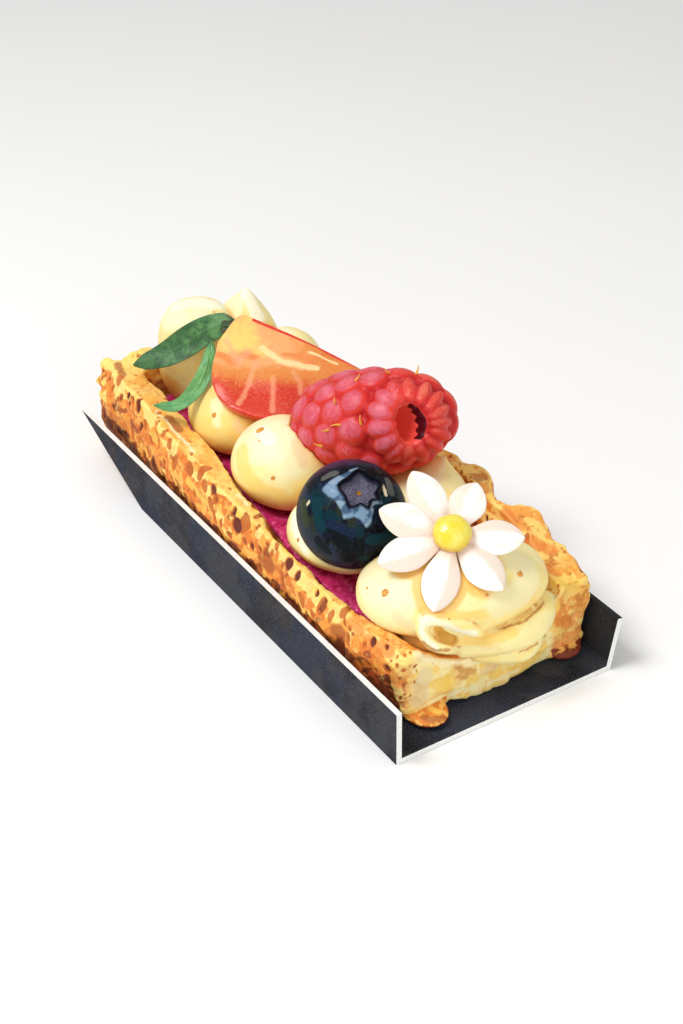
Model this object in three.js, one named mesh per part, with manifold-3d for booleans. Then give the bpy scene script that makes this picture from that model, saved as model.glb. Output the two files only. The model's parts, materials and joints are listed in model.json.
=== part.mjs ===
// A fruit and cream pastry slice: a risen flaky base with a raised rim, open at its cut end, filled with
// raspberry jam and piped custard cream, with a halved strawberry, a raspberry, a blueberry and a sugar
// flower on top. It lies in a folded black card tray that is open at both ends.
// Millimetres. x runs across the slice, y along it with the cut end at -y, and z is up. The origin is under
// the middle of the tray, on its underside.
import * as THREE from "three";
import { mergeVertices } from "three/addons/utils/BufferGeometryUtils.js";
import Module from "manifold-3d";

const wasm = await Module();
wasm.setup();

// The sizes that drive everything else
const GAP = 0.3; // between pieces that touch
const TRAY = { width: 42, length: 105, fold: 29.9, wall: 10, card: 1, leftLean: 1, rightLean: 9 };
const TONGUE = { halfWidth: 12, end: 47 }; // the floor's far end, under the pastry
const CUT_END = -46.4;
const FAR_END = 52.2;
const BASE_Z = TRAY.card + GAP;
const TROUGH = { floor: 11, cutEndFloor: 9, ramp: 6, farRim: 5.5 };
const JAM = { top: 12.7, from: -39.2, inset: 1.1 };
const ON_JAM = JAM.top + 2 * GAP; // where the dollops stand

// The pastry's plan and rim heights at places along it
const PASTRY = [
  { y: CUT_END, left: -16.3, innerLeft: -11.6, innerRight: 12.8, right: 22, leftTop: 14, rightTop: 15.4 },
  { y: -37, left: -18.4, innerLeft: -14.4, innerRight: 15, right: 22, leftTop: 14.9, rightTop: 17 },
  { y: -31, left: -18.8, innerLeft: -15.2, innerRight: 15.4, right: 22.6, leftTop: 15.3, rightTop: 18.4 },
  { y: -25, left: -18.9, innerLeft: -15.9, innerRight: 15.6, right: 20.4, leftTop: 15.8, rightTop: 18 },
  { y: -14, left: -19, innerLeft: -15.7, innerRight: 16.4, right: 22.2, leftTop: 16.4, rightTop: 18.8 },
  { y: 0, left: -19.1, innerLeft: -13.9, innerRight: 15.6, right: 21, leftTop: 17, rightTop: 18.2 },
  { y: 18, left: -18.8, innerLeft: -11.5, innerRight: 14.6, right: 19.6, leftTop: 18, rightTop: 17.4 },
  { y: 42, left: -18.2, innerLeft: -10.4, innerRight: 12.6, right: 17.4, leftTop: 19.8, rightTop: 17 },
  { y: FAR_END, left: -17.6, innerLeft: -9, innerRight: 11, right: 15.8, leftTop: 19.6, rightTop: 16.4 },
];

// Piped dollops: the widest reach across and along, the height of the crown, a peak where there is one, and
// how round the shoulders are where they are broad
const DOLLOPS = [
  { name: "cream_left_1", x: -1, y: 41.9, reach: [7.9, 8.2], top: 31, shoulders: 0.5 },
  { name: "cream_left_2", x: -4.4, y: 22.8, reach: [8.1, 9.7], top: 25.6 },
  { name: "cream_left_3", x: -5.8, y: 3.8, reach: [9, 9.8], top: 26.4 },
  { name: "cream_left_4", x: -7.2, y: -16.6, reach: [8.8, 10.2], top: 22.6 },
  { name: "cream_right_1", x: 8.4, y: 42, reach: [7.2, 7.8], top: 28, tip: [1.4, 0.2, 3.6] },
  { name: "cream_right_2", x: 11.8, y: 31.6, reach: [7, 8], top: 26.2 },
  { name: "cream_right_3", x: 9.6, y: 16.2, reach: [7, 8.2], top: 23.4 },
  { name: "cream_right_4", x: 9.4, y: 0, reach: [7.2, 8.4], top: 23 },
  { name: "cream_right_5", x: 9.8, y: -16.4, reach: [7.2, 8], top: 22, tip: [4, 0.8, 1.8] },
];

// The large swirl at the cut end: a dome, the foot under it, rolls that hang over and a turned-up tail
const SWIRL = {
  dome: { x: -1.3, y: -38.6, reach: [15.4, 10.2], top: 24.4, turn: -16, tip: [-0.2, 2.2, 2.6] },
  foot: { x: 0.4, y: -42, reach: [12.4, 6.6], top: 19, turn: -8 },
  rolls: [
    { radius: 2.5, path: [[-6, -45.6, 11.6], [3.6, -48.9, 12.4], [9, -48, 12.8], [13, -44.2, 13.4]] },
    { radius: 2.1, path: [[-3, -45.8, 9.6], [2, -47.6, 8.8], [6.4, -48.2, 8.4], [13.4, -44.2, 9.6]] },
  ],
  tail: {
    radius: 1,
    path: [[-7.4, -47.9, 13.2], [-10.6, -46.7, 14.9], [-11.7, -45.3, 17.4], [-9.8, -45.8, 19], [-3.8, -49.3, 15.7]],
  },
};

const STRAWBERRY = {
  leafEnd: [-4.9, 26.6, 31.4],
  tip: [12.4, 4.6, 27.4],
  lean: 24,
  low: 12.3, // the widest reach of the lower edge
  high: [7.3, 2.4], // the upper edge is nearly straight, from one reach to the other
  depth: 7.6,
};
const LEAVES = {
  thick: 0.7,
  facing: [-0.5, -0.6, 0.62],
  stub: { at: [-0.6, 30.6, 31.4], size: [1.9, 1.7, 1.5] }, // where they join the fruit
  dark: { width: 5.4, foot: 0.5, path: [[0.4, 29.8, 32], [-3.2, 33.6, 30.4], [-9.4, 37.8, 25.4], [-14.6, 42.4, 22.2]] },
  light: { width: 2.8, path: [[-5.2, 29, 31], [-7.9, 26.4, 27.4], [-11.1, 25, 24.6], [-14.9, 24.9, 22.7], [-17.6, 29, 21.4]] },
};
const RASPBERRY = { at: [5.5, -6.2, 28.5], axis: [0.42, -0.84, 0.34], length: 28.4, radius: 8 };
const BEADS = { count: 64, height: 1.6, reach: 2.9 }; // over the raspberry
const HOLLOW = { at: [5.2, -14.2, 32.2], axis: [0.04, -0.9, 0.44], mouth: 2, bottom: 1.4, tall: 1.6, depth: 9 };
const BLUEBERRY = {
  at: [-9.4, -22.4, 24.6], radius: 8.8, crown: 3.55, widePoints: 1.78, facing: [-0.11, -0.46, 0.88],
};
const FLOWER = { at: [-2.2, -39.2, 27.3], heading: -33, tilt: 32, disc: 2.9, button: 3.05 };
const PETAL = { thick: 2.2, width: 5.9, widest: 0.56 };
const PETALS = [
  { turn: 119, length: 12.2, lift: 0.8 },
  { turn: 65, length: 9.8, lift: 0.4 },
  { turn: -1, length: 11.2, lift: 0.2 },
  { turn: -48, length: 11.4, lift: -0.5 },
  { turn: -104, length: 12.3, lift: -0.9 },
  { turn: -158, length: 12.2, lift: 0.3 },
  { turn: 160, length: 11.8, lift: 1.1 },
];

const COLOUR = {
  card: 0x26282c,
  pastry: 0xe0a040,
  jam: 0xa8205a,
  cream: 0xf9eeb8,
  strawberry: 0xe0603c,
  leafDark: 0x34703a,
  leafLight: 0x64ac5c,
  raspberry: 0xd8322e,
  blueberry: 0x26304c,
  petal: 0xfdf6ee,
  button: 0xf4dc3c,
};

const vec = (p) => new THREE.Vector3(...p);
const lerp = THREE.MathUtils.lerp;
const circle = (count, point) => Array.from({ length: count }, (_, i) => point((i / count) * 2 * Math.PI, i));

// Repeatable random values on a lattice, smoothly blended, from -1 to 1
function latticeValue(i, j, k) {
  let h = Math.imul(i, 374761393) ^ Math.imul(j, 668265263) ^ Math.imul(k, 1442695041);
  h = Math.imul(h ^ (h >>> 13), 1274126177);
  return (((h ^ (h >>> 16)) >>> 0) / 4294967295) * 2 - 1;
}

function lump(x, y, z, size) {
  const place = [x / size, y / size, z / size];
  const cell = place.map(Math.floor);
  const part = place.map((v, i) => THREE.MathUtils.smoothstep(v - cell[i], 0, 1));
  let sum = 0;
  for (let corner = 0; corner < 8; corner++) {
    const step = [corner & 1, (corner >> 1) & 1, corner >> 2];
    const weight = step.reduce((w, s, i) => w * (s ? part[i] : 1 - part[i]), 1);
    sum += weight * latticeValue(cell[0] + step[0], cell[1] + step[1], cell[2] + step[2]);
  }
  return sum;
}

// The values of the PASTRY table at a place along the slice
function pastryAt(y) {
  let i = 0;
  while (i < PASTRY.length - 2 && y > PASTRY[i + 1].y) i++;
  const [a, b] = [PASTRY[i], PASTRY[i + 1]];
  const share = THREE.MathUtils.smoothstep(y, a.y, b.y);
  return Object.fromEntries(Object.keys(a).map((key) => [key, lerp(a[key], b[key], share)]));
}

// A closed surface through rings of points, each end closed on a point
function skin(rings, ends = [middleOf(rings[0]), middleOf(rings[rings.length - 1])]) {
  const count = rings[0].length;
  const faces = [];
  for (let r = 0; r + 1 < rings.length; r++) {
    for (let i = 0; i < count; i++) {
      const [a, b] = [r * count + i, r * count + ((i + 1) % count)];
      faces.push(a, b, b + count, a, b + count, a + count);
    }
  }
  const last = (rings.length - 1) * count;
  for (let i = 0; i < count; i++) {
    const next = (i + 1) % count;
    faces.push(next, i, rings.length * count);
    faces.push(last + i, last + next, rings.length * count + 1);
  }
  return facingOut(new THREE.BufferGeometry().setFromPoints([...rings.flat(), ...ends]).setIndex(faces));
}

function middleOf(ring) {
  return ring.reduce((sum, p) => sum.add(p), new THREE.Vector3()).divideScalar(ring.length);
}

function facingOut(geometry) {
  const points = geometry.attributes.position;
  const index = geometry.index.array;
  const corner = (i) => new THREE.Vector3().fromBufferAttribute(points, index[i]);
  let volume = 0;
  for (let i = 0; i < index.length; i += 3) volume += corner(i).dot(corner(i + 1).cross(corner(i + 2)));
  for (let i = 0; volume < 0 && i < index.length; i += 3) {
    [index[i + 1], index[i + 2]] = [index[i + 2], index[i + 1]];
  }
  return geometry;
}

// From a three.js geometry to a Manifold solid and back
function solid(geometry) {
  const bare = geometry.clone();
  const others = Object.keys(bare.attributes).filter((name) => name !== "position");
  for (const name of others) bare.deleteAttribute(name);
  const merged = mergeVertices(bare, 1e-4);
  const vertProperties = new Float32Array(merged.attributes.position.array);
  const triVerts = new Uint32Array(merged.index.array);
  return new wasm.Manifold(new wasm.Mesh({ numProp: 3, vertProperties, triVerts }));
}

function geometryOf(manifold) {
  const mesh = manifold.getMesh();
  const points = new Float32Array(mesh.numVert * 3);
  for (let i = 0; i < mesh.numVert; i++) {
    points.set(mesh.vertProperties.subarray(i * mesh.numProp, i * mesh.numProp + 3), i * 3);
  }
  return new THREE.BufferGeometry()
    .setAttribute("position", new THREE.BufferAttribute(points, 3))
    .setIndex(new THREE.BufferAttribute(new Uint32Array(mesh.triVerts), 1));
}

const largestOf = (manifold) => manifold.decompose().sort((a, b) => b.volume() - a.volume())[0];
const without = (made, tools) => tools.reduce((left, tool) => left.subtract(tool), made);
const joined = (pieces) => pieces.reduce((made, piece) => made.add(piece));
const ball = (size, at, detail = [14, 10]) =>
  solid(new THREE.SphereGeometry(1, ...detail).scale(...size).translate(...at));

// Everything beyond a plane, as a big box
function beyondPlane(point, normal, size = 80) {
  const turn = new THREE.Quaternion().setFromUnitVectors(new THREE.Vector3(0, 0, 1), normal);
  const box = new THREE.BoxGeometry(size, size, size).translate(0, 0, size / 2).applyQuaternion(turn);
  return solid(box.translate(...point));
}

// Turns +z to a direction and moves the origin to a place
function pointing(direction, at) {
  const turn = new THREE.Quaternion().setFromUnitVectors(vec([0, 0, 1]), vec(direction).normalize());
  return new THREE.Matrix4().makeRotationFromQuaternion(turn).setPosition(...at);
}

function plate(outline, thickness) {
  const shape = new THREE.Shape(outline.map(([x, y]) => new THREE.Vector2(x, y)));
  return new THREE.ExtrudeGeometry(shape, { depth: thickness, bevelEnabled: false });
}

// The card tray: a floor and two leaning side walls, with their far ends cut at a slant
function tray() {
  const { width, length, fold, wall, card, leftLean, rightLean } = TRAY;
  const [half, front] = [width / 2, -length / 2];
  const { halfWidth, end } = TONGUE;
  const rightEdge = [[half, front], [half, fold], [halfWidth, end]];
  const leftEdge = rightEdge.map(([x, y]) => [-x, y]).reverse();
  const side = [[front, 0], [fold, 0], [length / 2, wall], [front, wall]];
  // Stands the wall's outline on edge: its first axis becomes y, its second z, and its thickness x
  const upright = new THREE.Matrix4().makeBasis(vec([0, 1, 0]), vec([0, 0, 1]), vec([1, 0, 0]));
  const leftWall = plate(side, card).applyMatrix4(upright);
  leftWall.rotateY(THREE.MathUtils.degToRad(-leftLean)).translate(-half, 0, 0);
  const rightWall = plate(side, card).applyMatrix4(upright).translate(-card, 0, 0);
  rightWall.rotateY(THREE.MathUtils.degToRad(rightLean)).translate(half, 0, 0);
  return joined([plate([...rightEdge, ...leftEdge], card), leftWall, rightWall].map(solid));
}

// One ring of the pastry's outside, from under its left side over the top to under its right side
function pastryRing(y) {
  const { left, right, leftTop, rightTop } = pastryAt(y);
  const [sidePoints, crossing, under] = [8, 9, 5];
  const wallInside = TRAY.width / 2 - TRAY.card - GAP;
  const clearOfTray = TRAY.wall + 2.4; // above this the pastry may bulge out over the wall
  const leaning = Math.tan(THREE.MathUtils.degToRad(TRAY.rightLean));
  const ring = [];
  const push = (x, z, out) => {
    const rough = 0.62 * lump(x, y, z, 3.1) + 0.3 * lump(x, y, z, 1.6);
    const lift = z > BASE_Z + 1 ? 0.55 * lump(x, y, z + 40, 5) : 0;
    const height = Math.max(z + lift, BASE_Z);
    const inTray = height < clearOfTray;
    const most = inTray ? wallInside + (height - TRAY.card) * leaning : Infinity;
    const least = inTray ? -wallInside : -Infinity;
    const across = THREE.MathUtils.clamp(x + out * rough, least, most);
    ring.push(vec([across, y + 0.3 * lump(x, y, z + 9, 2.6), height]));
  };
  for (let i = 0; i < sidePoints; i++) {
    const t = i / (sidePoints - 1);
    const belly = 0.9 * Math.sin(Math.PI * t) - 1.4 * (1 - t) ** 3 - 1.1 * t ** 6;
    push(left - belly, lerp(BASE_Z, leftTop, t), -1);
  }
  for (let i = 1; i < crossing; i++) {
    const t = i / crossing;
    push(lerp(left + 1.6, right - 1.6, t), lerp(leftTop, rightTop, t), 0);
  }
  const scallop = 0.67 * Math.sin((y + 2) / 2.9) + 0.42 * Math.sin(y / 1.7);
  for (let i = sidePoints - 1; i >= 0; i--) {
    const t = i / (sidePoints - 1);
    const bulge = 0.9 * Math.sin(Math.PI * t) * t - 1.9 * (1 - t) ** 1.4 - 1.1 * t ** 6;
    push(right + bulge + scallop * t ** 2, lerp(BASE_Z, rightTop, t), 1);
  }
  for (let i = 1; i < under; i++) ring.push(vec([lerp(right - 2.2, left + 1.4, i / under), y, BASE_Z]));
  return ring;
}

function pastryBlock() {
  const stations = 40;
  const roundedFrom = 3;
  const rings = circle(stations + 1, (_, s) => {
    const y = lerp(CUT_END, FAR_END, s / stations);
    const ring = pastryRing(y);
    // The last rings draw in towards their middle, which rounds the far end
    const left = Math.min(FAR_END - y, roundedFrom);
    const round = Math.sqrt(1 - ((roundedFrom - left) / (roundedFrom + 0.6)) ** 2);
    const middle = middleOf(ring);
    for (const p of ring) {
      p.x = lerp(middle.x, p.x, 0.86 + 0.14 * round);
      p.z = lerp(BASE_Z, p.z, 0.86 + 0.14 * round);
    }
    return ring;
  });
  const ends = [middleOf(rings[0]), middleOf(rings[stations]).add(vec([0, 0.8, 0]))];
  return skin(rings, ends);
}

// The room inside the rim, down to the floor on which the jam lies; it runs out through the cut end
function troughBlock() {
  const stations = 30;
  const from = CUT_END - 3;
  const to = FAR_END - TROUGH.farRim;
  // Outwards and up. At the cut end the left wall is a gentle slope
  const profile = [[-1.2, 0], [-0.2, 1.4], [0.4, 3.4], [1.5, 5.4], [2.4, 15]];
  const gentle = [[-7, 0], [-4.2, 1.2], [-1.9, 2.3], [0.5, 4.2], [2.4, 15]];
  return skin(
    circle(stations + 1, (_, s) => {
      const y = lerp(from, to, s / stations);
      const { innerLeft, innerRight } = pastryAt(y);
      const ramp = THREE.MathUtils.clamp((y - CUT_END) / TROUGH.ramp, 0, 1);
      const floor = lerp(TROUGH.cutEndFloor, TROUGH.floor, ramp);
      const far = THREE.MathUtils.clamp((to - y) / 3, 0, 1);
      const inset = 1.6 * (1 - Math.sqrt(1 - (1 - far) ** 2));
      const left = innerLeft + inset + 0.35 * lump(3, y, 0, 2.3);
      const right = innerRight - inset + 0.35 * lump(9, y, 0, 2.3);
      const leftSide = profile.map(([out, up], i) =>
        vec([left - lerp(gentle[i][0], out, ramp), y, floor + lerp(gentle[i][1], up, ramp)]),
      );
      const rightSide = profile.map(([out, up]) => vec([right + out, y, floor + up])).reverse();
      return [...leftSide, ...rightSide];
    }),
  );
}

function pastry() {
  const hollowed = solid(pastryBlock()).subtract(solid(troughBlock()));
  // Browned feet that stick out under both corners of the cut end
  const feet = joined([
    ball([3.8, 4.6, 1.2], [-11.4, CUT_END + 0.5, 2]),
    ball([3.4, 2.8, 1.1], [16.4, CUT_END + 0.6, 2.1]),
  ]).subtract(beyondPlane([0, CUT_END, BASE_Z], vec([0, 0, -1])));
  return largestOf(hollowed.add(feet).subtract(tornUnderside()));
}

// Between the feet the pastry's torn underside lifts off the tray, down to nothing further in
function tornUnderside() {
  const tear = [[-8, -0.5], [-6.4, 1.1], [-4, 0.7], [-2, 0.4], [2, 0.3], [6, 0.7], [9, 0.4], [12.4, -0.5]];
  const ring = (y, share) => {
    const above = tear.map(([x, up]) => vec([x, y, BASE_Z + up * share - 0.3 * (1 - share)]));
    return [...above, vec([12.4, y, BASE_Z - 2]), vec([-8, y, BASE_Z - 2])];
  };
  return solid(skin([ring(CUT_END - 1, 1), ring(CUT_END + 6, 0)]));
}

function jam() {
  const stations = 30;
  const low = TROUGH.floor + GAP;
  return skin(
    circle(stations + 1, (_, s) => {
      const y = lerp(JAM.from, FAR_END - TROUGH.farRim - 2, s / stations);
      const { innerLeft, innerRight } = pastryAt(y);
      const [left, right] = [innerLeft + JAM.inset, innerRight - JAM.inset];
      const top = JAM.top + 0.3 * lump(0, y, 5, 4);
      const profile = [[left + 0.6, low], [left, low + 0.6], [left + 0.3, top]];
      profile.push([right - 0.3, top], [right, low + 0.6], [right - 0.6, low]);
      return profile.map(([x, z]) => vec([x, y, z]));
    }),
  );
}

// A mound of piped cream: a foot drawn in at the base, a belly and a crown that may be pulled into a peak
function mound(form, base = ON_JAM, [around, rows] = [14, 7]) {
  const { x, y, reach, top, tip = [0, 0, 0], turn = 0, shoulders = 0.86 } = form;
  const foot = 0.37; // how far up its height the belly is
  const rings = circle(rows, (_, r) => {
    const t = r / (rows - 1);
    const angle = lerp(-0.3, 0.46, t) * Math.PI;
    const rise = foot + (angle < 0 ? foot / 0.81 : 1 - foot) * Math.sin(angle);
    const peak = Math.max(0, (t - 0.5) / 0.5) ** 2 * (tip[2] > 0);
    const share = Math.cos(angle) ** shoulders * (1 - 0.4 * peak);
    return circle(around, (a) => {
      const wobble = 1 + 0.035 * lump(3 * Math.cos(a) + x, 3 * Math.sin(a) + y, 2 * t, 2);
      const out = vec([reach[0] * Math.cos(a), reach[1] * Math.sin(a), 0]).multiplyScalar(share * wobble);
      out.applyAxisAngle(new THREE.Vector3(0, 0, 1), THREE.MathUtils.degToRad(turn));
      const height = base + (top - base) * rise + tip[2] * peak;
      return out.add(vec([x + tip[0] * peak, y + tip[1] * peak, height]));
    });
  });
  const crown = vec([x + tip[0], y + tip[1], top + tip[2] * 1.1]);
  return solid(skin(rings, [vec([x, y, rings[0][0].z]), crown]));
}

// A tapering tube of cream along a path
function roll({ radius, path }, steps = 10, around = 7) {
  const curve = new THREE.CatmullRomCurve3(path.map(vec));
  const rings = circle(steps + 1, (_, s) => {
    const t = s / steps;
    const along = curve.getTangentAt(t);
    const side = new THREE.Vector3(0, 0, 1).cross(along).normalize();
    const up = along.clone().cross(side);
    const size = radius * (0.35 + 0.65 * Math.sin(Math.PI * (0.06 + 0.88 * t)) ** 0.5);
    return circle(around, (a) => {
      const out = side.clone().multiplyScalar(Math.cos(a)).addScaledVector(up, Math.sin(a));
      return curve.getPointAt(t).addScaledVector(out, size);
    });
  });
  return solid(skin(rings));
}

function swirl() {
  const { dome, foot, rolls, tail } = SWIRL;
  const body = mound(dome, 13, [20, 8]).add(mound(foot, TROUGH.cutEndFloor + GAP, [14, 5]));
  return joined([body, ...rolls.map((r) => roll(r)), roll(tail, 12, 6)]);
}

// Where two dollops would run into each other, both are cut back to a plane between them
function dollops() {
  const made = DOLLOPS.map((d) => mound(d));
  const part = (i, j) => {
    const [a, b] = [DOLLOPS[i], DOLLOPS[j]];
    const towards = new THREE.Vector3(b.x - a.x, b.y - a.y, 0);
    const apart = towards.length();
    towards.normalize();
    const [ra, rb] = [a, b].map(({ reach }) => Math.hypot(reach[0] * towards.x, reach[1] * towards.y));
    if (apart > ra + rb + GAP) return;
    const plane = (shift) => vec([a.x, a.y, 0]).addScaledVector(towards, (apart + ra - rb) / 2 + shift);
    made[i] = made[i].subtract(beyondPlane(plane(-GAP / 2), towards));
    made[j] = made[j].subtract(beyondPlane(plane(GAP / 2), towards.clone().negate()));
  };
  for (let i = 0; i < made.length; i++) {
    for (let j = i + 1; j < made.length; j++) part(i, j);
  }
  return made;
}

// Half a strawberry: a flat cut face that leans to the left, and a rounded back. grow makes the tool
// that clears it
function strawberry(grow = 0) {
  const { leafEnd, tip, lean, low, high, depth } = STRAWBERRY;
  const axis = vec(tip).sub(vec(leafEnd));
  const length = axis.length() + 2 * grow;
  axis.normalize();
  const across = new THREE.Vector3(0, 0, 1).cross(axis).normalize();
  const placed = new THREE.Matrix4()
    .makeBasis(axis, across, axis.clone().cross(across))
    .multiply(new THREE.Matrix4().makeRotationX(THREE.MathUtils.degToRad(lean)))
    .setPosition(...vec(leafEnd).addScaledVector(axis, -grow));
  const [rows, arc, faceSteps, widest] = [13, 12, 4, 0.36];
  const rings = circle(rows - 1, (_, r) => {
    const t = ((r + 1) / rows) ** 1.25;
    const shoulder = (1 - (1 - Math.min(t / widest, 1)) ** 2.6) ** 0.45;
    const taper = Math.cos(Math.max(0, (t - widest) / (1 - widest)) * 1.54) ** 0.8;
    const shape = shoulder * taper;
    const upperEnds = (1 - (1 - Math.min(t / 0.07, 1)) ** 2.4) ** 0.4 * Math.sqrt(1 - Math.max(0, (t - 0.86) / 0.15) ** 2);
    const upper = (lerp(...high, t) + 0.6 * Math.sin(Math.PI * t)) * upperEnds;
    const edge = (a) => ((Math.cos(a) > 0 ? upper : low * shape) + grow) * Math.cos(a);
    const back = (a) => vec([t * length, edge(a), (depth * shape + grow) * Math.sin(a)]);
    const ring = Array.from({ length: arc + 1 }, (_, i) => back(Math.PI * (1 + i / arc)));
    for (let i = 1; i < faceSteps; i++) {
      ring.push(vec([t * length, lerp(edge(0), edge(Math.PI), i / faceSteps), grow + 0.25]));
    }
    return ring;
  });
  return skin(rings, [vec([0, 0, -0.6]), vec([length, 0, -0.4])]).applyMatrix4(placed);
}

// A leaf along a curve: thin, cupped and wavy, with both faces split into triangles alike
function leaf({ path, width, foot = 0 }, grow = 0) {
  const curve = new THREE.CatmullRomCurve3(path.map(vec));
  const steps = 10;
  const across = [-1, -0.5, 0, 0.5, 1];
  const rings = circle(steps + 1, (_, s) => {
    const t = s / steps;
    const along = curve.getTangentAt(t);
    const side = vec(LEAVES.facing).cross(along).normalize();
    const up = along.clone().cross(side).normalize();
    const least = 0.16 + foot * (1 - THREE.MathUtils.smoothstep(t, 0, 0.4));
    const half = (width / 2) * (least + (1 - least) * Math.sin(Math.PI * (0.1 + 0.88 * t)) ** 0.8) + grow;
    const at = (v, lift) => {
      const wave = 0.22 * half * v * v + 0.25 * Math.sin(9 * t + 2 * v);
      return curve.getPointAt(t).addScaledVector(side, half * v).addScaledVector(up, wave + lift);
    };
    const upper = across.map((v) => at(v, LEAVES.thick / 2 + grow));
    const lower = across.map((v) => at(v, -LEAVES.thick / 2 - grow)).reverse();
    return [...upper, ...lower];
  });
  return solid(skin(rings));
}

function darkLeaf(grow = 0) {
  const { at, size } = LEAVES.stub;
  return leaf(LEAVES.dark, grow).add(ball(size.map((v) => v + grow), at, [9, 6]));
}

// A place on the raspberry's long round body, from its closed end at t = 0, raised by lift
function onRaspberry(a, t, lift = 0) {
  const { length, radius } = RASPBERRY;
  const wide = radius * Math.sin(Math.PI * t) ** 0.72 + lift;
  const along = -Math.cos(Math.PI * t) * (length / 2 + lift);
  return vec([wide * Math.cos(a), wide * Math.sin(a), along]);
}

function raspberryBody([around, steps], liftAt) {
  const { at, axis } = RASPBERRY;
  const ring = (t) => circle(around, (a) => onRaspberry(a, t, liftAt(a, t)));
  const rings = circle(steps - 1, (_, s) => ring((s + 1) / steps));
  const [low, high] = [onRaspberry(0, 0, liftAt(0, 0)), onRaspberry(0, 1, liftAt(0, 1))];
  return solid(skin(rings, [vec([0, 0, low.z]), vec([0, 0, high.z])]).applyMatrix4(pointing(axis, at)));
}

// Beads in a spiral over the body, and a tapering hollow cut into one end
function raspberry() {
  const { count, height, reach } = BEADS;
  const golden = Math.PI * (3 - Math.sqrt(5));
  const along = (k) => Math.acos(1 - (2 * k + 1) / count) / Math.PI;
  const middles = circle(count, (_, k) => onRaspberry(k * golden, along(k)));
  const relief = (a, t) => {
    const nearest = Math.min(...middles.map((m) => m.distanceTo(onRaspberry(a, t))));
    return height * Math.sqrt(Math.max(0, 1 - (nearest / reach) ** 2));
  };
  const { mouth, bottom, tall, depth } = HOLLOW;
  const lining = [[mouth, 8], [mouth, -1], [bottom, -depth]].map(([wide, z]) =>
    circle(14, (a) => vec([wide * Math.cos(a), wide * tall * Math.sin(a), z])),
  );
  const hollow = skin(lining).applyMatrix4(pointing(HOLLOW.axis, HOLLOW.at));
  return raspberryBody([46, 20], relief).subtract(solid(hollow));
}

// The blueberry, with a crown of six uneven points round a shallow dish
function blueberry() {
  const { at, radius, crown, widePoints, facing } = BLUEBERRY;
  const [around, steps, flattening, brimAt] = [24, 9, 0.95, 0.865];
  const ring = (wide, z, points = 0) =>
    circle(around, (turn) => {
      const a = widePoints + turn + 0.35 * Math.sin(turn);
      const out = wide * (1 - points * Math.cos(6 * turn));
      return vec([out * Math.cos(a), out * Math.sin(a), z]);
    });
  const rings = circle(steps, (_, s) => {
    const angle = ((s + 1) / steps) * brimAt * Math.PI;
    return ring(radius * Math.sin(angle), -radius * flattening * Math.cos(angle));
  });
  const brim = rings[steps - 1][0].z;
  rings.push(ring(crown, brim + 0.7, 0.12));
  rings.push(ring(crown * 0.82, brim + 0.9, 0.2));
  rings.push(ring(crown * 0.7, brim - 0.5, 0.16));
  const ends = [vec([0, 0, -radius * flattening]), vec([0, 0, brim - 0.9])];
  return skin(rings, ends).applyMatrix4(pointing(facing, at));
}

// The sugar flower leans back on the swirl
const flowerTurn = new THREE.Matrix4()
  .makeRotationZ(THREE.MathUtils.degToRad(FLOWER.heading))
  .multiply(new THREE.Matrix4().makeRotationX(THREE.MathUtils.degToRad(FLOWER.tilt)))
  .setPosition(...FLOWER.at);

function petal({ turn, length, lift }) {
  const [steps, around] = [6, 8];
  const { widest } = PETAL;
  const rings = circle(steps - 1, (_, s) => {
    const t = Math.sin(((s + 1) / steps) * (Math.PI / 2));
    const base = lerp(0.36, 1, THREE.MathUtils.smoothstep(t, 0, widest));
    const blade = base * (1 - Math.max(0, (t - widest) / (1 - widest)) ** 2) ** 0.72;
    const fat = (PETAL.thick / 2) * Math.sqrt(1 - t ** 4);
    return circle(around, (a) =>
      vec([1 + t * (length - 1), (PETAL.width / 2) * blade * Math.cos(a), fat * Math.sin(a) + lift * t * t]),
    );
  });
  return skin(rings, [vec([1, 0, 0]), vec([length, 0, lift])]).rotateZ(THREE.MathUtils.degToRad(turn));
}

function flowerButton(grow = 0) {
  const wide = FLOWER.button + grow;
  return ball([wide, wide, 2 + grow], [0, 0, 1.5], [14, 8]);
}

function corolla() {
  const disc = new THREE.CylinderGeometry(FLOWER.disc, FLOWER.disc - 0.5, 1.4, 12).rotateX(Math.PI / 2);
  const petals = joined([solid(disc), ...PETALS.map((p) => solid(petal(p)))]);
  return petals.subtract(flowerButton(GAP));
}

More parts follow.
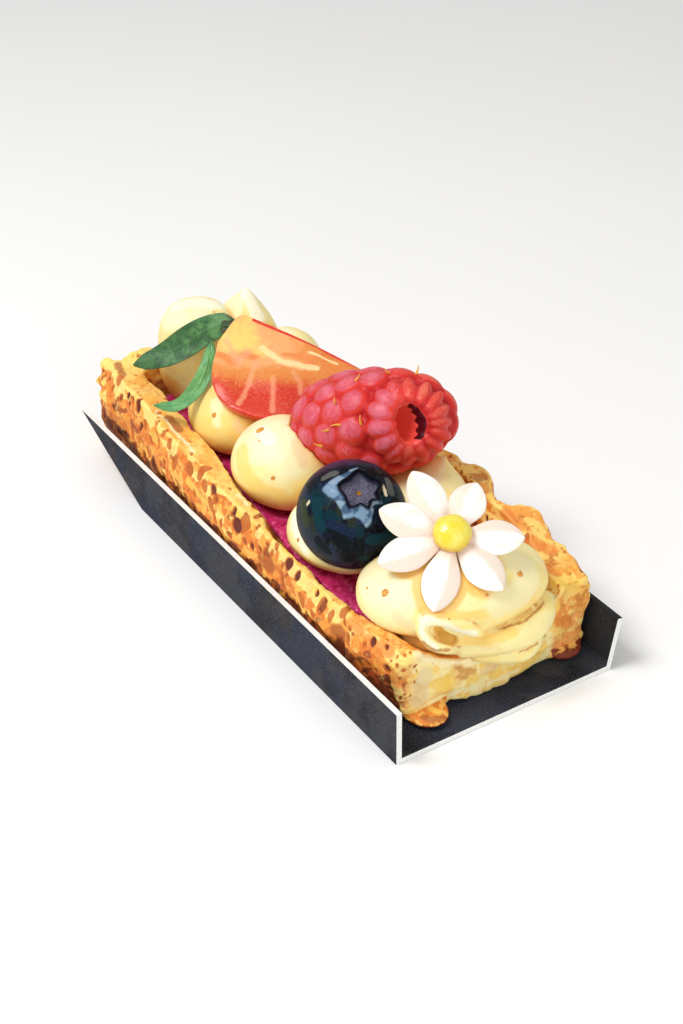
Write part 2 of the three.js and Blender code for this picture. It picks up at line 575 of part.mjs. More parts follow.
function build() {
  const group = new THREE.Group();
  const place = (name, made, color, roughness) => {
    const geometry = made instanceof THREE.BufferGeometry ? made : geometryOf(made);
    const mesh = new THREE.Mesh(geometry, new THREE.MeshStandardMaterial({ color, roughness, metalness: 0 }));
    mesh.name = name;
    group.add(mesh);
  };

  const base = pastry();
  const filling = solid(jam());
  const mounds = dollops();
  const flower = corolla().transform(flowerTurn.elements);
  const clearOfStrawberry = solid(strawberry(GAP));
  const clearOfRaspberry = raspberryBody([22, 14], () => BEADS.height + GAP);
  const clearOfBlueberry = ball(Array(3).fill(BLUEBERRY.radius + GAP), BLUEBERRY.at, [22, 14]);
  const clearOfDarkLeaf = darkLeaf(GAP);

  // What the cream is cut back from: the pastry beside and under it, and the fruit and leaves pressed into it
  const shifted = (made, ...shifts) => shifts.map((shift) => made.translate(shift));
  const around = shifted(base, [0, 0, GAP], [GAP, 0, 0], [-GAP, 0, 0]);
  around.push(clearOfStrawberry, clearOfDarkLeaf, leaf(LEAVES.light, GAP));
  around.push(clearOfRaspberry, clearOfBlueberry);
  const trim = (made) => largestOf(without(made, around));
  const besideSwirl = shifted(filling, [0, 0, GAP], [0, -GAP, 0]);
  besideSwirl.push(...shifted(base, [0, -GAP, 0]), ...shifted(flower, [0, 0, 0], [0, 0, -GAP]));
  besideSwirl.push(...mounds.flatMap((made) => shifted(made, [0, -GAP, 0], [0, 0, 0])));

  place("tray", tray(), COLOUR.card, 0.8);
  place("pastry_crust", base, COLOUR.pastry, 0.75);
  place("jam_layer", filling, COLOUR.jam, 0.25);
  DOLLOPS.forEach(({ name }, i) => place(name, trim(mounds[i]), COLOUR.cream, 0.5));
  place("cream_end_swirl", trim(without(swirl(), besideSwirl)), COLOUR.cream, 0.5);
  const strawberryHalf = largestOf(solid(strawberry()).subtract(clearOfRaspberry));
  place("strawberry_half", strawberryHalf, COLOUR.strawberry, 0.35);
  place("leaf_dark", largestOf(darkLeaf().subtract(clearOfStrawberry)), COLOUR.leafDark, 0.6);
  const lightLeaf = leaf(LEAVES.light).subtract(clearOfDarkLeaf).subtract(clearOfStrawberry);
  place("leaf_light", largestOf(lightLeaf), COLOUR.leafLight, 0.6);
  place("raspberry", raspberry(), COLOUR.raspberry, 0.4);
  place("blueberry", blueberry(), COLOUR.blueberry, 0.5);
  place("flower_petals", flower, COLOUR.petal, 0.5);
  place("flower_centre", flowerButton().transform(flowerTurn.elements), COLOUR.button, 0.3);
  return group;
}

export default build();
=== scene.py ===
"""A fruit and cream pastry slice in a folded card tray: its pieces, finishes and studio."""

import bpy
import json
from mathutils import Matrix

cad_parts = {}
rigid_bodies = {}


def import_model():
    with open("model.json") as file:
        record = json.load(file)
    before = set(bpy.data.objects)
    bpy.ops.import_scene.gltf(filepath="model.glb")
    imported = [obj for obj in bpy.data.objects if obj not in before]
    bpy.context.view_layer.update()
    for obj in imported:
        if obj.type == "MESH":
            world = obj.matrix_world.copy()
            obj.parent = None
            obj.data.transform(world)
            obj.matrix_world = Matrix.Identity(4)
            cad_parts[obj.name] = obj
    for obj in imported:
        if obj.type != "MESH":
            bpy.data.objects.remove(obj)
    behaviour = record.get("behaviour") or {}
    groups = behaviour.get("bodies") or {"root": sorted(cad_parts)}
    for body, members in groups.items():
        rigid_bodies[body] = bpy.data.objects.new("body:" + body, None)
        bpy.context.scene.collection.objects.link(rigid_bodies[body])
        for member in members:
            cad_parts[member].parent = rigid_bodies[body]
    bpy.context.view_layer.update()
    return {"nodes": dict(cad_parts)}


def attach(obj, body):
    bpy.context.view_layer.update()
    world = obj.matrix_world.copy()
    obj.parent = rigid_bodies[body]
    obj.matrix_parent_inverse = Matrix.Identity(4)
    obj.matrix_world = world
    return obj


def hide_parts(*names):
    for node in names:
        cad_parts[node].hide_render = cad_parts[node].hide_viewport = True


bl_info = {
    "name": "Fruit and cream pastry slice",
    "version": (1, 0, 0),
    "blender": (4, 5, 0),
    "location": "3D View > Sidebar > Pastry",
    "description": "Bakes, fills and tops a pastry slice in its card tray",
    "category": "Object",
}

import json
import math
import random

import bmesh
import bpy
import numpy as np
from bpy.props import FloatProperty, FloatVectorProperty, IntProperty, PointerProperty
from mathutils import Matrix, Vector
from mathutils.bvhtree import BVHTree
from mathutils.kdtree import KDTree

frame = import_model()

# The sizes below are in millimetres, as the frame's source has them
MM = 0.001
# How far apart points may be and still be merged
SAME_PLACE = 0.001
# Room between the pieces
GAP = 0.3
WALL_TOP = 10
RIGHT_WALL = 20.2
CARD_BEVEL = 0.14
CUT_END = -46.4
ON_JAM = 13.3
TROUGH_END_FLOOR = 9
# How deep in a solid a point may lie and still be moved out, and how near to its core it may be drawn back
DEEPEST, NEAREST = 3.5, 0.3

# The view whose pixels the strokes and marks below are given in, and its camera
VIEW_PIXELS = (683, 1024)
LENS, SENSOR = 62.757, 36
DISTANCE = 300
TARGET = (-2.778, -9.275, 15.0)
AZIMUTH, ELEVATION = -33.071, 34.31
# Places and sizes in metres, powers in watts
LIGHTS = {
    "key": {"at": (-0.26, 0.04, 0.46), "size": 0.2, "power": 1.75},
    "fill": {"at": (-0.05, -0.5, 0.26), "size": 0.4, "power": 0.8},
}
SKY = {"Color": (1.0, 0.985, 0.96, 1), "Strength": 0.52}

# Mounds of cream: their middles, how far they reach each way, their tops and the peaks that some end in
DOLLOPS = {
    "cream_left_1": {"at": (-1, 41.9), "reach": (7.9, 8.2), "top": 31, "shoulders": 0.5},
    "cream_left_2": {"at": (-4.4, 22.8), "reach": (8.1, 9.7), "top": 25.6},
    "cream_left_3": {"at": (-5.8, 3.8), "reach": (9, 9.8), "top": 26.4},
    "cream_left_4": {"at": (-7.2, -16.6), "reach": (8.8, 10.2), "top": 22.6},
    "cream_right_1": {"at": (8.4, 42), "reach": (7.2, 7.8), "top": 28, "tip": (1.4, 0.2, 3.6)},
    "cream_right_2": {"at": (11.8, 31.6), "reach": (7, 8), "top": 26.2},
    "cream_right_3": {"at": (9.6, 16.2), "reach": (7, 8.2), "top": 23.4},
    "cream_right_4": {"at": (9.4, 0), "reach": (7.2, 8.4), "top": 23},
    "cream_right_5": {"at": (9.8, -16.4), "reach": (7.2, 8), "top": 22, "tip": (4, 0.8, 1.8)},
}
SWIRL_MOUNDS = {
    "dome": {
        "at": (-1.3, -38.6), "reach": (15.4, 10.2), "top": 24.4, "base": 13,
        "turn": -16, "tip": (-0.2, 2.2, 2.6),
    },
    "foot": {"at": (0.4, -42), "reach": (12.4, 6.6), "top": 19, "base": TROUGH_END_FLOOR + GAP, "turn": -8},
}
# Radius and path of the swirl's two rolls over the cut end, its curled tail and the flap over that
SWIRL_ROPES = (
    (2.5, ((-6, -45.6, 11.6), (3.6, -48.9, 12.4), (9, -48, 12.8), (13, -44.2, 13.4))),
    (2.1, ((-3, -45.8, 9.6), (2, -47.6, 8.8), (6.4, -48.2, 8.4), (13.4, -44.2, 9.6))),
    (1, (
        (-7.4, -47.9, 13.2), (-10.6, -46.7, 14.9), (-11.7, -45.3, 17.4), (-9.8, -45.8, 19),
        (-3.8, -49.3, 15.7),
    )),
    (0.85, ((-10.7, -45.9, 18.9), (-8.8, -46.9, 18.9), (-6.3, -48.2, 17.8), (-3.4, -49.8, 15.8))),
)
# A stroke is a tone, how wide it is in millimetres and the pixels of the view that it runs through.
# On the crust: a browned flake, painted highlights along the edges of the cut face and the rim, and baked and
# yellow places of the rims, the yellow ones partly painted highlights
CRUST_STROKES = (
    ("flake", 0.6, ((456.5, 665), (462.5, 671), (474, 671))),
    ("flake", 0.4, ((458, 676.5), (467, 676.5))),
    ("edge_light", 0.6, ((416, 654), (428, 659), (440, 662), (462, 661), (480, 661))),
    ("edge_light", 0.4, ((450, 694), (462, 690), (476, 688))),
    ("edge_light", 0.35, ((488, 684), (503, 678), (518, 670))),
    ("yellow", 0.6, ((431, 709), (438, 712))),
    ("brown", 0.6, ((424, 717), (434, 720), (443, 718))),
    ("beige", 1.5, ((424, 676), (420, 700))),
    ("beige", 0.7, ((482, 672), (500, 662), (520, 655))),
    ("yellow", 1.2, ((449, 676), (449, 688))),
    ("amber", 1.0, ((368, 641), (389, 652))),
    ("amber", 0.7, ((350, 622), (361, 632))),
    ("amber", 0.8, ((380, 662), (392, 672), (398, 684))),
    ("amber", 0.9, ((506, 512), (524, 527))),
    ("amber", 1.1, ((529, 541), (551, 549))),
    ("amber", 0.8, ((541, 566), (556, 574))),
    ("amber", 1.0, ((556, 618), (570, 624))),
    ("yellow", 1.1, ((558, 582), (574, 586))),
    ("yellow", 0.8, ((548, 600), (556, 608))),
    ("brown", 1.2, ((263, 561), (271, 566))),
    ("brown", 1.1, ((336, 630), (342, 637))),
    ("brown", 0.8, ((168, 418), (178, 430))),
    ("brown", 0.7, ((118, 364), (122, 375))),
    ("brown", 0.7, ((157, 468), (163, 478))),
    ("yellow", 0.6, ((188, 481), (212, 509))),
    ("yellow", 0.6, ((234, 508), (252, 526))),
    ("yellow", 0.5, ((284, 548), (293, 562))),
    ("yellow", 0.6, ((314, 588), (331, 604))),
    ("edge_light", 0.3, ((156, 411), (179, 436), (194, 452))),
    ("edge_light", 0.3, ((238, 494), (266, 526))),
)
# The torn underside at the cut end: places across the slice and how high its edge is at each
TEAR = ((-8, 0), (-6.4, 0.9), (-4, 0.4), (-2, 0.1), (2, 0.05), (6, 0.2), (9, 0.2), (12.4, 0))
# Size of the crust's plain faces where they are hidden
PLAIN_FACE = 2.5
# The crust's pores by place: how many are tried for, which is a setting for the sides, their least and most
# length, their width as a share of it, and their depth as a share of the deepest pore's
PORE_DEPTH = 0.55
PORES = {
    "side": (None, 0.7, 1.7, 0.66, 1.0),
    "top": (110, 0.25, 0.6, 0.8, 0.5),
    "end": (22, 0.2, 0.4, 0.7, 0.4),
    "pillar": (40, 0.25, 0.5, 0.8, 1.0),
}
# Strokes on the cream: painted highlights (light, fair), yellower places that are partly painted shade (band),
# browner painted shade (beige) and painted shade lines along its creases (ink)
CREAM_STROKES = {
    "cream_left_1": (
        ("light", 1.8, ((180, 305), (195, 302), (215, 304))),
        ("band", 1.2, ((163, 375), (175, 385))),
    ),
    "cream_left_2": (
        ("band", 4.0, ((199, 400), (208, 428), (226, 440), (238, 426))),
        ("fair", 0.9, ((216, 402), (217, 424))),
        ("beige", 0.8, ((236, 424), (243, 432))),
    ),
    "cream_left_3": (
        ("light", 1.2, ((262, 430), (270, 440))),
        ("fair", 3.0, ((264, 434), (279, 448), (287, 462))),
        ("band", 1.5, ((241, 452), (247, 476), (262, 492), (280, 497))),
        ("beige", 1.0, ((296, 444), (303, 462))),
    ),
    "cream_left_4": (
        ("light", 0.8, ((296, 512), (298, 536), (306, 552))),
        ("band", 0.9, ((306, 560), (318, 567))),
    ),
    "cream_right_1": (("light", 1.3, ((247, 293), (252, 303), (258, 316))),),
    "cream_end_swirl": (
        ("light", 0.42, ((423, 622), (421, 631), (427, 640), (437, 648))),
        ("light", 0.7, ((427, 620), (445, 625), (458, 631), (472, 634))),
        ("fair", 2.6, ((375, 592), (398, 606))),
        ("fair", 2.2, ((512, 556), (528, 574), (524, 592), (500, 604))),
        ("beige", 0.9, ((398, 618), (408, 626))),
        ("ink", 0.25, ((423, 642), (434, 650), (448, 650), (459, 647))),
        ("ink", 0.2, ((500, 629), (524, 622), (538, 610), (544, 602))),
        ("ink", 0.16, ((519, 652), (531, 647), (538, 643))),
        ("band", 0.7, ((450, 616), (480, 614), (508, 610), (533, 599))),
        ("band", 0.8, ((462, 642), (490, 640), (512, 632))),
    ),
}
# The line along which the curled tail is hollow
CURL_HOLLOW = ((-9.3, -45.9, 17.2), (-7.2, -46, 13.9))
STRAWBERRY = {
    "leaf_end": (-4.9, 26.6, 31.4), "tip": (12.4, 4.6, 27.4), "lean": 24,
    "low": 12.3, "high": (7.3, 2.4), "depth": 7.6,
}
# On its cut face
STRAWBERRY_STROKES = (
    ("pale", 0.5, ((257, 360), (248, 386), (239, 403))),
    ("pale", 0.45, ((273, 377), (272.5, 410))),
    ("pale", 0.38, ((293, 372), (300, 382), (301, 394))),
    ("pale", 0.6, ((226, 341), (238, 362), (248, 352))),
    ("cream", 0.55, ((262, 348), (282, 362), (317, 368.5))),
    ("cream", 0.22, ((309, 352), (320, 356), (337, 364))),
    ("orange", 0.5, ((284, 354), (300, 356), (313, 361))),
    ("orange", 0.75, ((219, 354), (233, 362))),
    ("orange", 0.7, ((244, 355), (256, 358))),
)
LEAF_FACING = (-0.5, -0.6, 0.62)
LEAF_STUB = {"at": (-0.6, 30.6, 31.4), "size": (1.9, 1.7, 1.5)}
# Width, how much broader than a point its foot is, and path
DARK_LEAF = (5.4, 0.5, ((0.4, 29.8, 32), (-3.2, 33.6, 30.4), (-9.4, 37.8, 25.4), (-14.6, 42.4, 22.2)))
LIGHT_LEAF = (2.8, 0, (
    (-5.2, 29, 31), (-7.9, 26.4, 27.4), (-11.1, 25, 24.6), (-14.9, 24.9, 22.7), (-17.6, 29, 21.4),
))
RASPBERRY = {
    "at": (5.5, -6.2, 28.5), "axis": (0.42, -0.84, 0.34), "length": 28.4, "radius": 8,
    "core_depth": 0.3, "drupelet_rise": 1.6, "drupelet_depth": 0.4,
    "round_hollow": 15, "radiating": 2.9, "clear_of_brim": 7.4, "settling_rounds": 50,
}
HOLLOW = {
    "at": (5.2, -14.2, 32.2), "axis": (0.04, -0.9, 0.44), "mouth": 2, "bottom": 1.4,
    "tall": 1.6, "depth": 9, "cutter": 16, "flutes": 12,
}
BLUEBERRY = {
    "at": (-9.4, -22.4, 24.6), "facing": (-0.11, -0.46, 0.88), "radius": 8.8, "flat": 0.95,
    "crown": 3.55, "wide_points": 1.78, "view_turn": 33,
}
# Patches of its skin, and painted highlights (spark), the right one with the grey stroke beside it a painted
# reflection of a petal
BLUEBERRY_STROKES = (
    ("olive", 1.0, ((303, 504), (305, 521))),
    ("teal", 1.0, ((316, 502), (321, 526))),
    ("navy", 0.75, ((322, 489), (333, 482))),
    ("black", 1.5, ((340, 537), (358, 549), (350, 556))),
    ("navy", 0.8, ((331, 524), (352, 533))),
    ("teal", 0.9, ((372, 541), (392, 534))),
    ("black", 0.7, ((318, 541), (328, 552))),
    ("grey", 0.6, ((324, 478), (334, 473))),
    ("grey", 0.7, ((388, 481), (391, 492))),
    ("spark", 0.24, ((383.5, 486), (386, 495))),
    ("spark", 0.22, ((307.5, 504), (309, 502))),
)
# How far the blueberry's bloom reaches past its crown: degrees round it as the view shows it, and shares
BLOOM = (
    (0, 1.0), (45, 1.02), (90, 1.2), (135, 1.5), (180, 1.7), (215, 1.55), (240, 1.4), (262, 1.5),
    (284, 2.0), (298, 1.4), (330, 1.25), (360, 1.0),
)
FLOWER = {"at": (-2.2, -39.2, 27.3), "heading": -33, "tilt": 32, "disc": 2.9, "button": 3.05}
PETAL_WIDTH, PETAL_THICK, PETAL_WIDEST = 5.9, 2.2, 0.56
# Turn in degrees, length and lift of each petal
PETALS = (
    (119, 12.2, 0.8), (65, 9.8, 0.4), (-1, 11.2, 0.2), (-48, 11.4, -0.5),
    (-104, 12.3, -0.9), (-158, 12.2, 0.3), (160, 11.8, 1.1),
)
# Where hairs stand on the raspberry
HAIRS = ((335, 403), (340, 425), (328, 430), (361, 424), (389, 373), (416, 374), (356, 380), (322, 446))
# Where browned specks lie on the cream, and how large they are in millimetres
SPECKS = (
    (214, 415, 0.5), (260, 430, 0.75), (259, 441, 0.2), (273, 478, 0.4), (298, 540, 0.35),
    (385, 593, 0.65), (367, 588, 0.25), (520, 574, 0.55), (487, 595, 0.3), (534, 604, 0.3),
    (449, 619, 0.2), (214, 312, 0.25),
)


# Shader nodes


def colour(red, green, blue):
    """A colour as it is seen, from 0 to 1, as the linear light that a shader takes."""
    light = [c / 12.92 if c <= 0.04045 else ((c + 0.055) / 1.055) ** 2.4 for c in (red, green, blue)]
    return (*light, 1.0)


class Value:
    """A socket in a finish. Arithmetic on it adds Math nodes."""

    def __init__(self, finish, node, socket=0):
        self.finish = finish
        self.node = node
        self.socket = node.outputs[socket]

    def out(self, name):
        """Another of the node's outputs."""
        return Value(self.finish, self.node, name)

    def _math(self, operation, *values):
        return self.finish.node("ShaderNodeMath", {"operation": operation}, dict(enumerate(values)))

    def __add__(self, other):
        return self._math("ADD", self, other)

    __radd__ = __add__

    def __sub__(self, other):
        return self._math("SUBTRACT", self, other)

    def __rsub__(self, other):
        return self._math("SUBTRACT", other, self)

    def __mul__(self, other):
        return self._math("MULTIPLY", self, other)

    __rmul__ = __mul__

    def above(self, low, high):
        """0 below low, 1 above high and a smooth step between them."""
        settings, sockets = {"interpolation_type": "SMOOTHSTEP"}, {0: self, 1: low, 2: high, 3: 0.0, 4: 1.0}
        return self.finish.node("ShaderNodeMapRange", settings, sockets)


class Finish:
    """A procedural material: a Principled shader and the nodes that feed it."""

    def __init__(self, name, **constants):
        self.material = bpy.data.materials.new(name)
        self.material.use_nodes = True
        self.tree = self.material.node_tree
        self.shader = self.tree.nodes["Principled BSDF"]
        for socket, value in constants.items():
            self.shader.inputs[socket.replace("_", " ")].default_value = value
        coordinates = self.node("ShaderNodeTexCoord").out("Object")
        self.place = self.node("ShaderNodeMapping", {}, {"Vector": coordinates, "Scale": (1 / MM,) * 3})

    def node(self, kind, settings=None, sockets=None):
        """Adds a node, sets it up and gives its sockets values or links."""
        made = self.tree.nodes.new(kind)
        for name, value in (settings or {}).items():
            setattr(made, name, value)
        for name, value in (sockets or {}).items():
            if isinstance(value, Value):
                self.tree.links.new(value.socket, made.inputs[name])
            else:
                made.inputs[name].default_value = value
        return Value(self, made)

    def feed(self, socket, value):
        """Links a value to the shader."""
        self.tree.links.new(value.socket, self.shader.inputs[socket])

    def surface(self, base, roughness=None, normal=None):
        """Feeds the shader its colour and, where given, its roughness and its normal."""
        for socket, value in (("Base Color", base), ("Roughness", roughness), ("Normal", normal)):
            if value is not None:
                self.feed(socket, value)
        return self

    def painted(self, name):
        """A value that the mesh carries at each point."""
        return self.node("ShaderNodeAttribute", {"attribute_name": name}).out("Fac")

    def noise(self, size, detail=3.0, rough=0.55, stretch=(1, 1, 1), offset=0.0):
        """Cloudy values round 0.5 whose features are about size millimetres across."""
        sockets = {"Vector": self.place, "Scale": stretch, "Location": (offset, offset, offset)}
        mapped = self.node("ShaderNodeMapping", {}, sockets)
        sockets = {"Vector": mapped, "Scale": 1 / size, "Detail": detail, "Roughness": rough}
        return self.node("ShaderNodeTexNoise", {}, sockets)

    def cells(self, size):
        """Distances to the middles of scattered cells about size millimetres across."""
        return self.node("ShaderNodeTexVoronoi", {}, {"Vector": self.place, "Scale": 1 / size})

    def mix(self, share, first, second):
        """Mixes two colours."""
        settings = {"data_type": "RGBA", "clamp_factor": True}
        return self.node("ShaderNodeMix", settings, {0: share, 6: first, 7: second}).out(2)

    def coats(self, base, *coats):
        """Lays colours over the base, each given as the share that it covers and the colour."""
        for share, tone in coats:
            base = self.mix(share, base, tone)
        return base

    def axis(self, name):
        """One coordinate of the place, in millimetres."""
        return self.node("ShaderNodeSeparateXYZ", {}, {0: self.place}).out(name)

    def relief(self, height, depth, before=None):
        """Bumps the surface by height times depth millimetres."""
        sockets = {"Height": height, "Distance": depth * MM, "Strength": 1.0}
        if before is not None:
            sockets["Normal"] = before
        return self.node("ShaderNodeBump", {}, sockets)


# Meshes


def lattice(i, j, k):
    """Repeatable random values from -1 to 1 at whole places."""
    h = (i * 374761393 ^ j * 668265263 ^ k * 1442695041) & 0xFFFFFFFF
    h = ((h ^ (h >> 13)) * 1274126177) & 0xFFFFFFFF
    return (h ^ (h >> 16)) / 4294967295 * 2 - 1


def lumps(points, size):
    """Smoothly blended random values from -1 to 1, in lumps of a size."""
    place = np.asarray(points) / size
    cell = np.floor(place).astype(np.int64)
    part = place - cell
    part = part * part * (3 - 2 * part)
    total = np.zeros(len(place))
    for corner in range(8):
        step = [corner & 1, corner >> 1 & 1, corner >> 2]
        weight = np.prod([part[:, a] if step[a] else 1 - part[:, a] for a in range(3)], axis=0)
        total += weight * lattice(*(cell + step).T)
    return total


def ease(values, low, high):
    """0 below low, 1 above high and a smooth step between them."""
    t = np.clip((values - low) / (high - low), 0, 1)
    return t * t * (3 - 2 * t)


def points_of(mesh):
    """The mesh's points in millimetres."""
    points = np.empty(len(mesh.vertices) * 3)
    mesh.vertices.foreach_get("co", points)
    return points.reshape(-1, 3) / MM


def normals_of(mesh):
    """The normal at each of the mesh's points."""
    normals = np.empty(len(mesh.vertices) * 3)
    mesh.vertex_normals.foreach_get("vector", normals)
    return normals.reshape(-1, 3)


def move_points(mesh, points):
    """Puts the mesh's points where they are given, in millimetres."""
    mesh.vertices.foreach_set("co", (points * MM).ravel())
    mesh.update()


def paint(mesh, **painted):
    """Gives the mesh named values at each point, for its finish."""
    for name, values in painted.items():
        attribute = mesh.attributes.new(name, "FLOAT", "POINT")
        attribute.data.foreach_set("value", np.asarray(values, dtype=np.float32))


def spread_over(mesh, values, rounds):
    """The values blended with those of the neighbouring points."""
    edges = np.empty(len(mesh.edges) * 2, dtype=np.int32)
    mesh.edges.foreach_get("vertices", edges)
    first, second = edges.reshape(-1, 2).T
    both, others = np.concatenate([first, second]), np.concatenate([second, first])
    count = np.maximum(np.bincount(both, minlength=len(values)), 1)
    for _ in range(rounds):
        values = 0.4 * values + 0.6 * np.bincount(both, values[others], minlength=len(values)) / count
    return values


def ridges(mesh, rounds):
    """How far each point stands out of the surface round it, in millimetres."""
    points, normals = points_of(mesh), normals_of(mesh)
    flat = np.stack([spread_over(mesh, points[:, axis], rounds) for axis in range(3)], axis=1)
    return ((points - flat) * normals).sum(axis=1)


def mesh_from(form, name):
    """Makes the form a mesh and frees it."""
    mesh = bpy.data.meshes.new(name)
    form.to_mesh(mesh)
    form.free()
    return mesh


def unit_ball(name, subdivisions=3):
    """A ball with even faces, and its points as places on the unit sphere."""
    form = bmesh.new()
    bmesh.ops.create_icosphere(form, subdivisions=subdivisions, radius=1)
    mesh = mesh_from(form, name)
    return mesh, points_of(mesh) * MM


def wrapped(name, around, along, shape):
    """A ball whose points go where shape(a, t) says: a turns round it and t runs from pole to pole."""
    form = bmesh.new()
    bmesh.ops.create_uvsphere(form, u_segments=around, v_segments=along, radius=1)
    mesh = mesh_from(form, name)
    ball = points_of(mesh) * MM
    t = np.arccos(np.clip(-ball[:, 2], -1, 1)) / math.pi
    move_points(mesh, shape(np.arctan2(ball[:, 1], ball[:, 0]), t))
    return mesh


def outward(mesh):
    """Turns the faces outwards."""
    form = bmesh.new()
    form.from_mesh(mesh)
    bmesh.ops.recalc_face_normals(form, faces=form.faces)
    form.to_mesh(mesh)
    form.free()
    mesh.update()
    return mesh


def joined(name, meshes):
    """One mesh of several, which it takes the place of."""
    form = bmesh.new()
    for mesh in meshes:
        form.from_mesh(mesh)
        bpy.data.meshes.remove(mesh)
    return mesh_from(form, name)


def linked(name, data):
    """A new object in the scene."""
    made = bpy.data.objects.new(name, data)
    bpy.context.scene.collection.objects.link(made)
    return made


def modified(mesh, *modifiers):
    """The mesh with modifiers applied, each given as its type and its settings."""
    holder = linked(mesh.name, mesh)
    for kind, settings in modifiers:
        modifier = holder.modifiers.new(kind, kind)
        for name, value in settings.items():
            setattr(modifier, name, value)
    bpy.context.view_layer.update()
    made = bpy.data.meshes.new_from_object(holder.evaluated_get(bpy.context.evaluated_depsgraph_get()))
    bpy.data.objects.remove(holder)
    return made


def skinned(mesh, voxel, smoothing=2):
    """One even skin over everything in the mesh."""
    steps = [("REMESH", {"mode": "VOXEL", "voxel_size": voxel * MM})]
    if smoothing:
        steps.append(("SMOOTH", {"factor": 0.5, "iterations": smoothing}))
    return modified(mesh, *steps)


def merged(mesh):
    """A form of the mesh in which points at the same place are one."""
    form = bmesh.new()
    form.from_mesh(mesh)
    bmesh.ops.remove_doubles(form, verts=form.verts, dist=SAME_PLACE * MM)
    return form


def cad_copy(node):
    """A copy of a frame node's mesh, with its loose triangles merged."""
    return mesh_from(merged(frame["nodes"][node].data), node + "_copy")


def tree_of(*meshes):
    """A search tree over the meshes, in millimetres."""
    points, faces, count = [], [], 0
    for mesh in meshes:
        mesh.calc_loop_triangles()
        triangles = np.empty(len(mesh.loop_triangles) * 3, dtype=np.int32)
        mesh.loop_triangles.foreach_get("vertices", triangles)
        points += points_of(mesh).tolist()
        faces += (triangles.reshape(-1, 3) + count).tolist()
        count = len(points)
    return BVHTree.FromPolygons(points, faces, all_triangles=True)


def nooks(mesh, tree, reach=5.0, rays=12):
    """How closed in each point is by what is in the tree, from 0 to 1."""
    draw = random.Random(11)
    ways = [Vector([draw.gauss(0, 1) for _ in range(3)]).normalized() for _ in range(rays)]
    closed = []
    for point, normal in zip(points_of(mesh), normals_of(mesh)):
        up = Vector(normal)
        start = Vector(point) + up * 0.05
        hits = sum(tree.ray_cast(start, way + up * 1.05, reach)[0] is not None for way in ways)
        closed.append(hits / rays)
    return spread_over(mesh, np.array(closed), 3)


def dress(name, mesh, finish, slot, *nodes):
    """Makes a finished piece of the mesh, in place of the frame's nodes."""
    piece = linked(name, mesh)
    mesh.name = name
    mesh.polygons.foreach_set("use_smooth", [True] * len(mesh.polygons))
    if not mesh.materials:
        mesh.materials.append(finish.material)
    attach(piece, "root")
    if nodes:
        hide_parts(*nodes)
    return piece


def pointing(axis, at):
    """Turns +z to an axis and moves the origin to a place."""
    turn = Vector((0, 0, 1)).rotation_difference(Vector(axis).normalized())
    return Matrix.Translation(at) @ turn.to_matrix().to_4x4()


def apply(matrix, points):
    """The points turned and moved by a matrix."""
    matrix = np.array(matrix)
    return points @ matrix[:3, :3].T + matrix[:3, 3]


def along_path(path, shares):
    """Places and directions along a smooth curve through the path's points."""
    path = np.array(path, dtype=float)
    full = np.vstack([2 * path[0] - path[1], path, 2 * path[-1] - path[-2]])
    fine = []
    for i in range(len(path) - 1):
        p0, p1, p2, p3 = full[i : i + 4]
        for s in np.linspace(0, 1, 40, endpoint=False):
            bend, twist = 2 * p0 - 5 * p1 + 4 * p2 - p3, 3 * p1 - p0 - 3 * p2 + p3
            fine.append(0.5 * (2 * p1 + (p2 - p0) * s + bend * s**2 + twist * s**3))
    fine = np.array(fine + [path[-1]])
    length = np.concatenate([[0], np.cumsum(np.linalg.norm(np.diff(fine, axis=0), axis=1))])
    share = length / length[-1]
    directions = np.gradient(fine, share, axis=0)
    at = np.stack([np.interp(shares, share, fine[:, axis]) for axis in range(3)], axis=1)
    way = np.stack([np.interp(shares, share, directions[:, axis]) for axis in range(3)], axis=1)
    return at, way / np.linalg.norm(way, axis=1, keepdims=True)


def crossed(first, second):
    """The unit vectors square to each pair."""
    made = np.cross(first, second)
    return made / np.maximum(np.linalg.norm(made, axis=1, keepdims=True), 1e-9)


def beside(normal, along):
    """The two unit vectors square to a normal, of which the second is nearest to a direction."""
    side = normal.cross(along).normalized()
    return side, side.cross(normal).normalized()


def from_segment(points, first, last):
    """Each point's share of the way from first to last, and its distance from that line."""
    way = last - first
    share = np.clip((points - first) @ way / (way @ way), 0, 1)
    return share, np.linalg.norm(points - first - share[:, None] * way, axis=1)


# Sizes and colours that a user would change


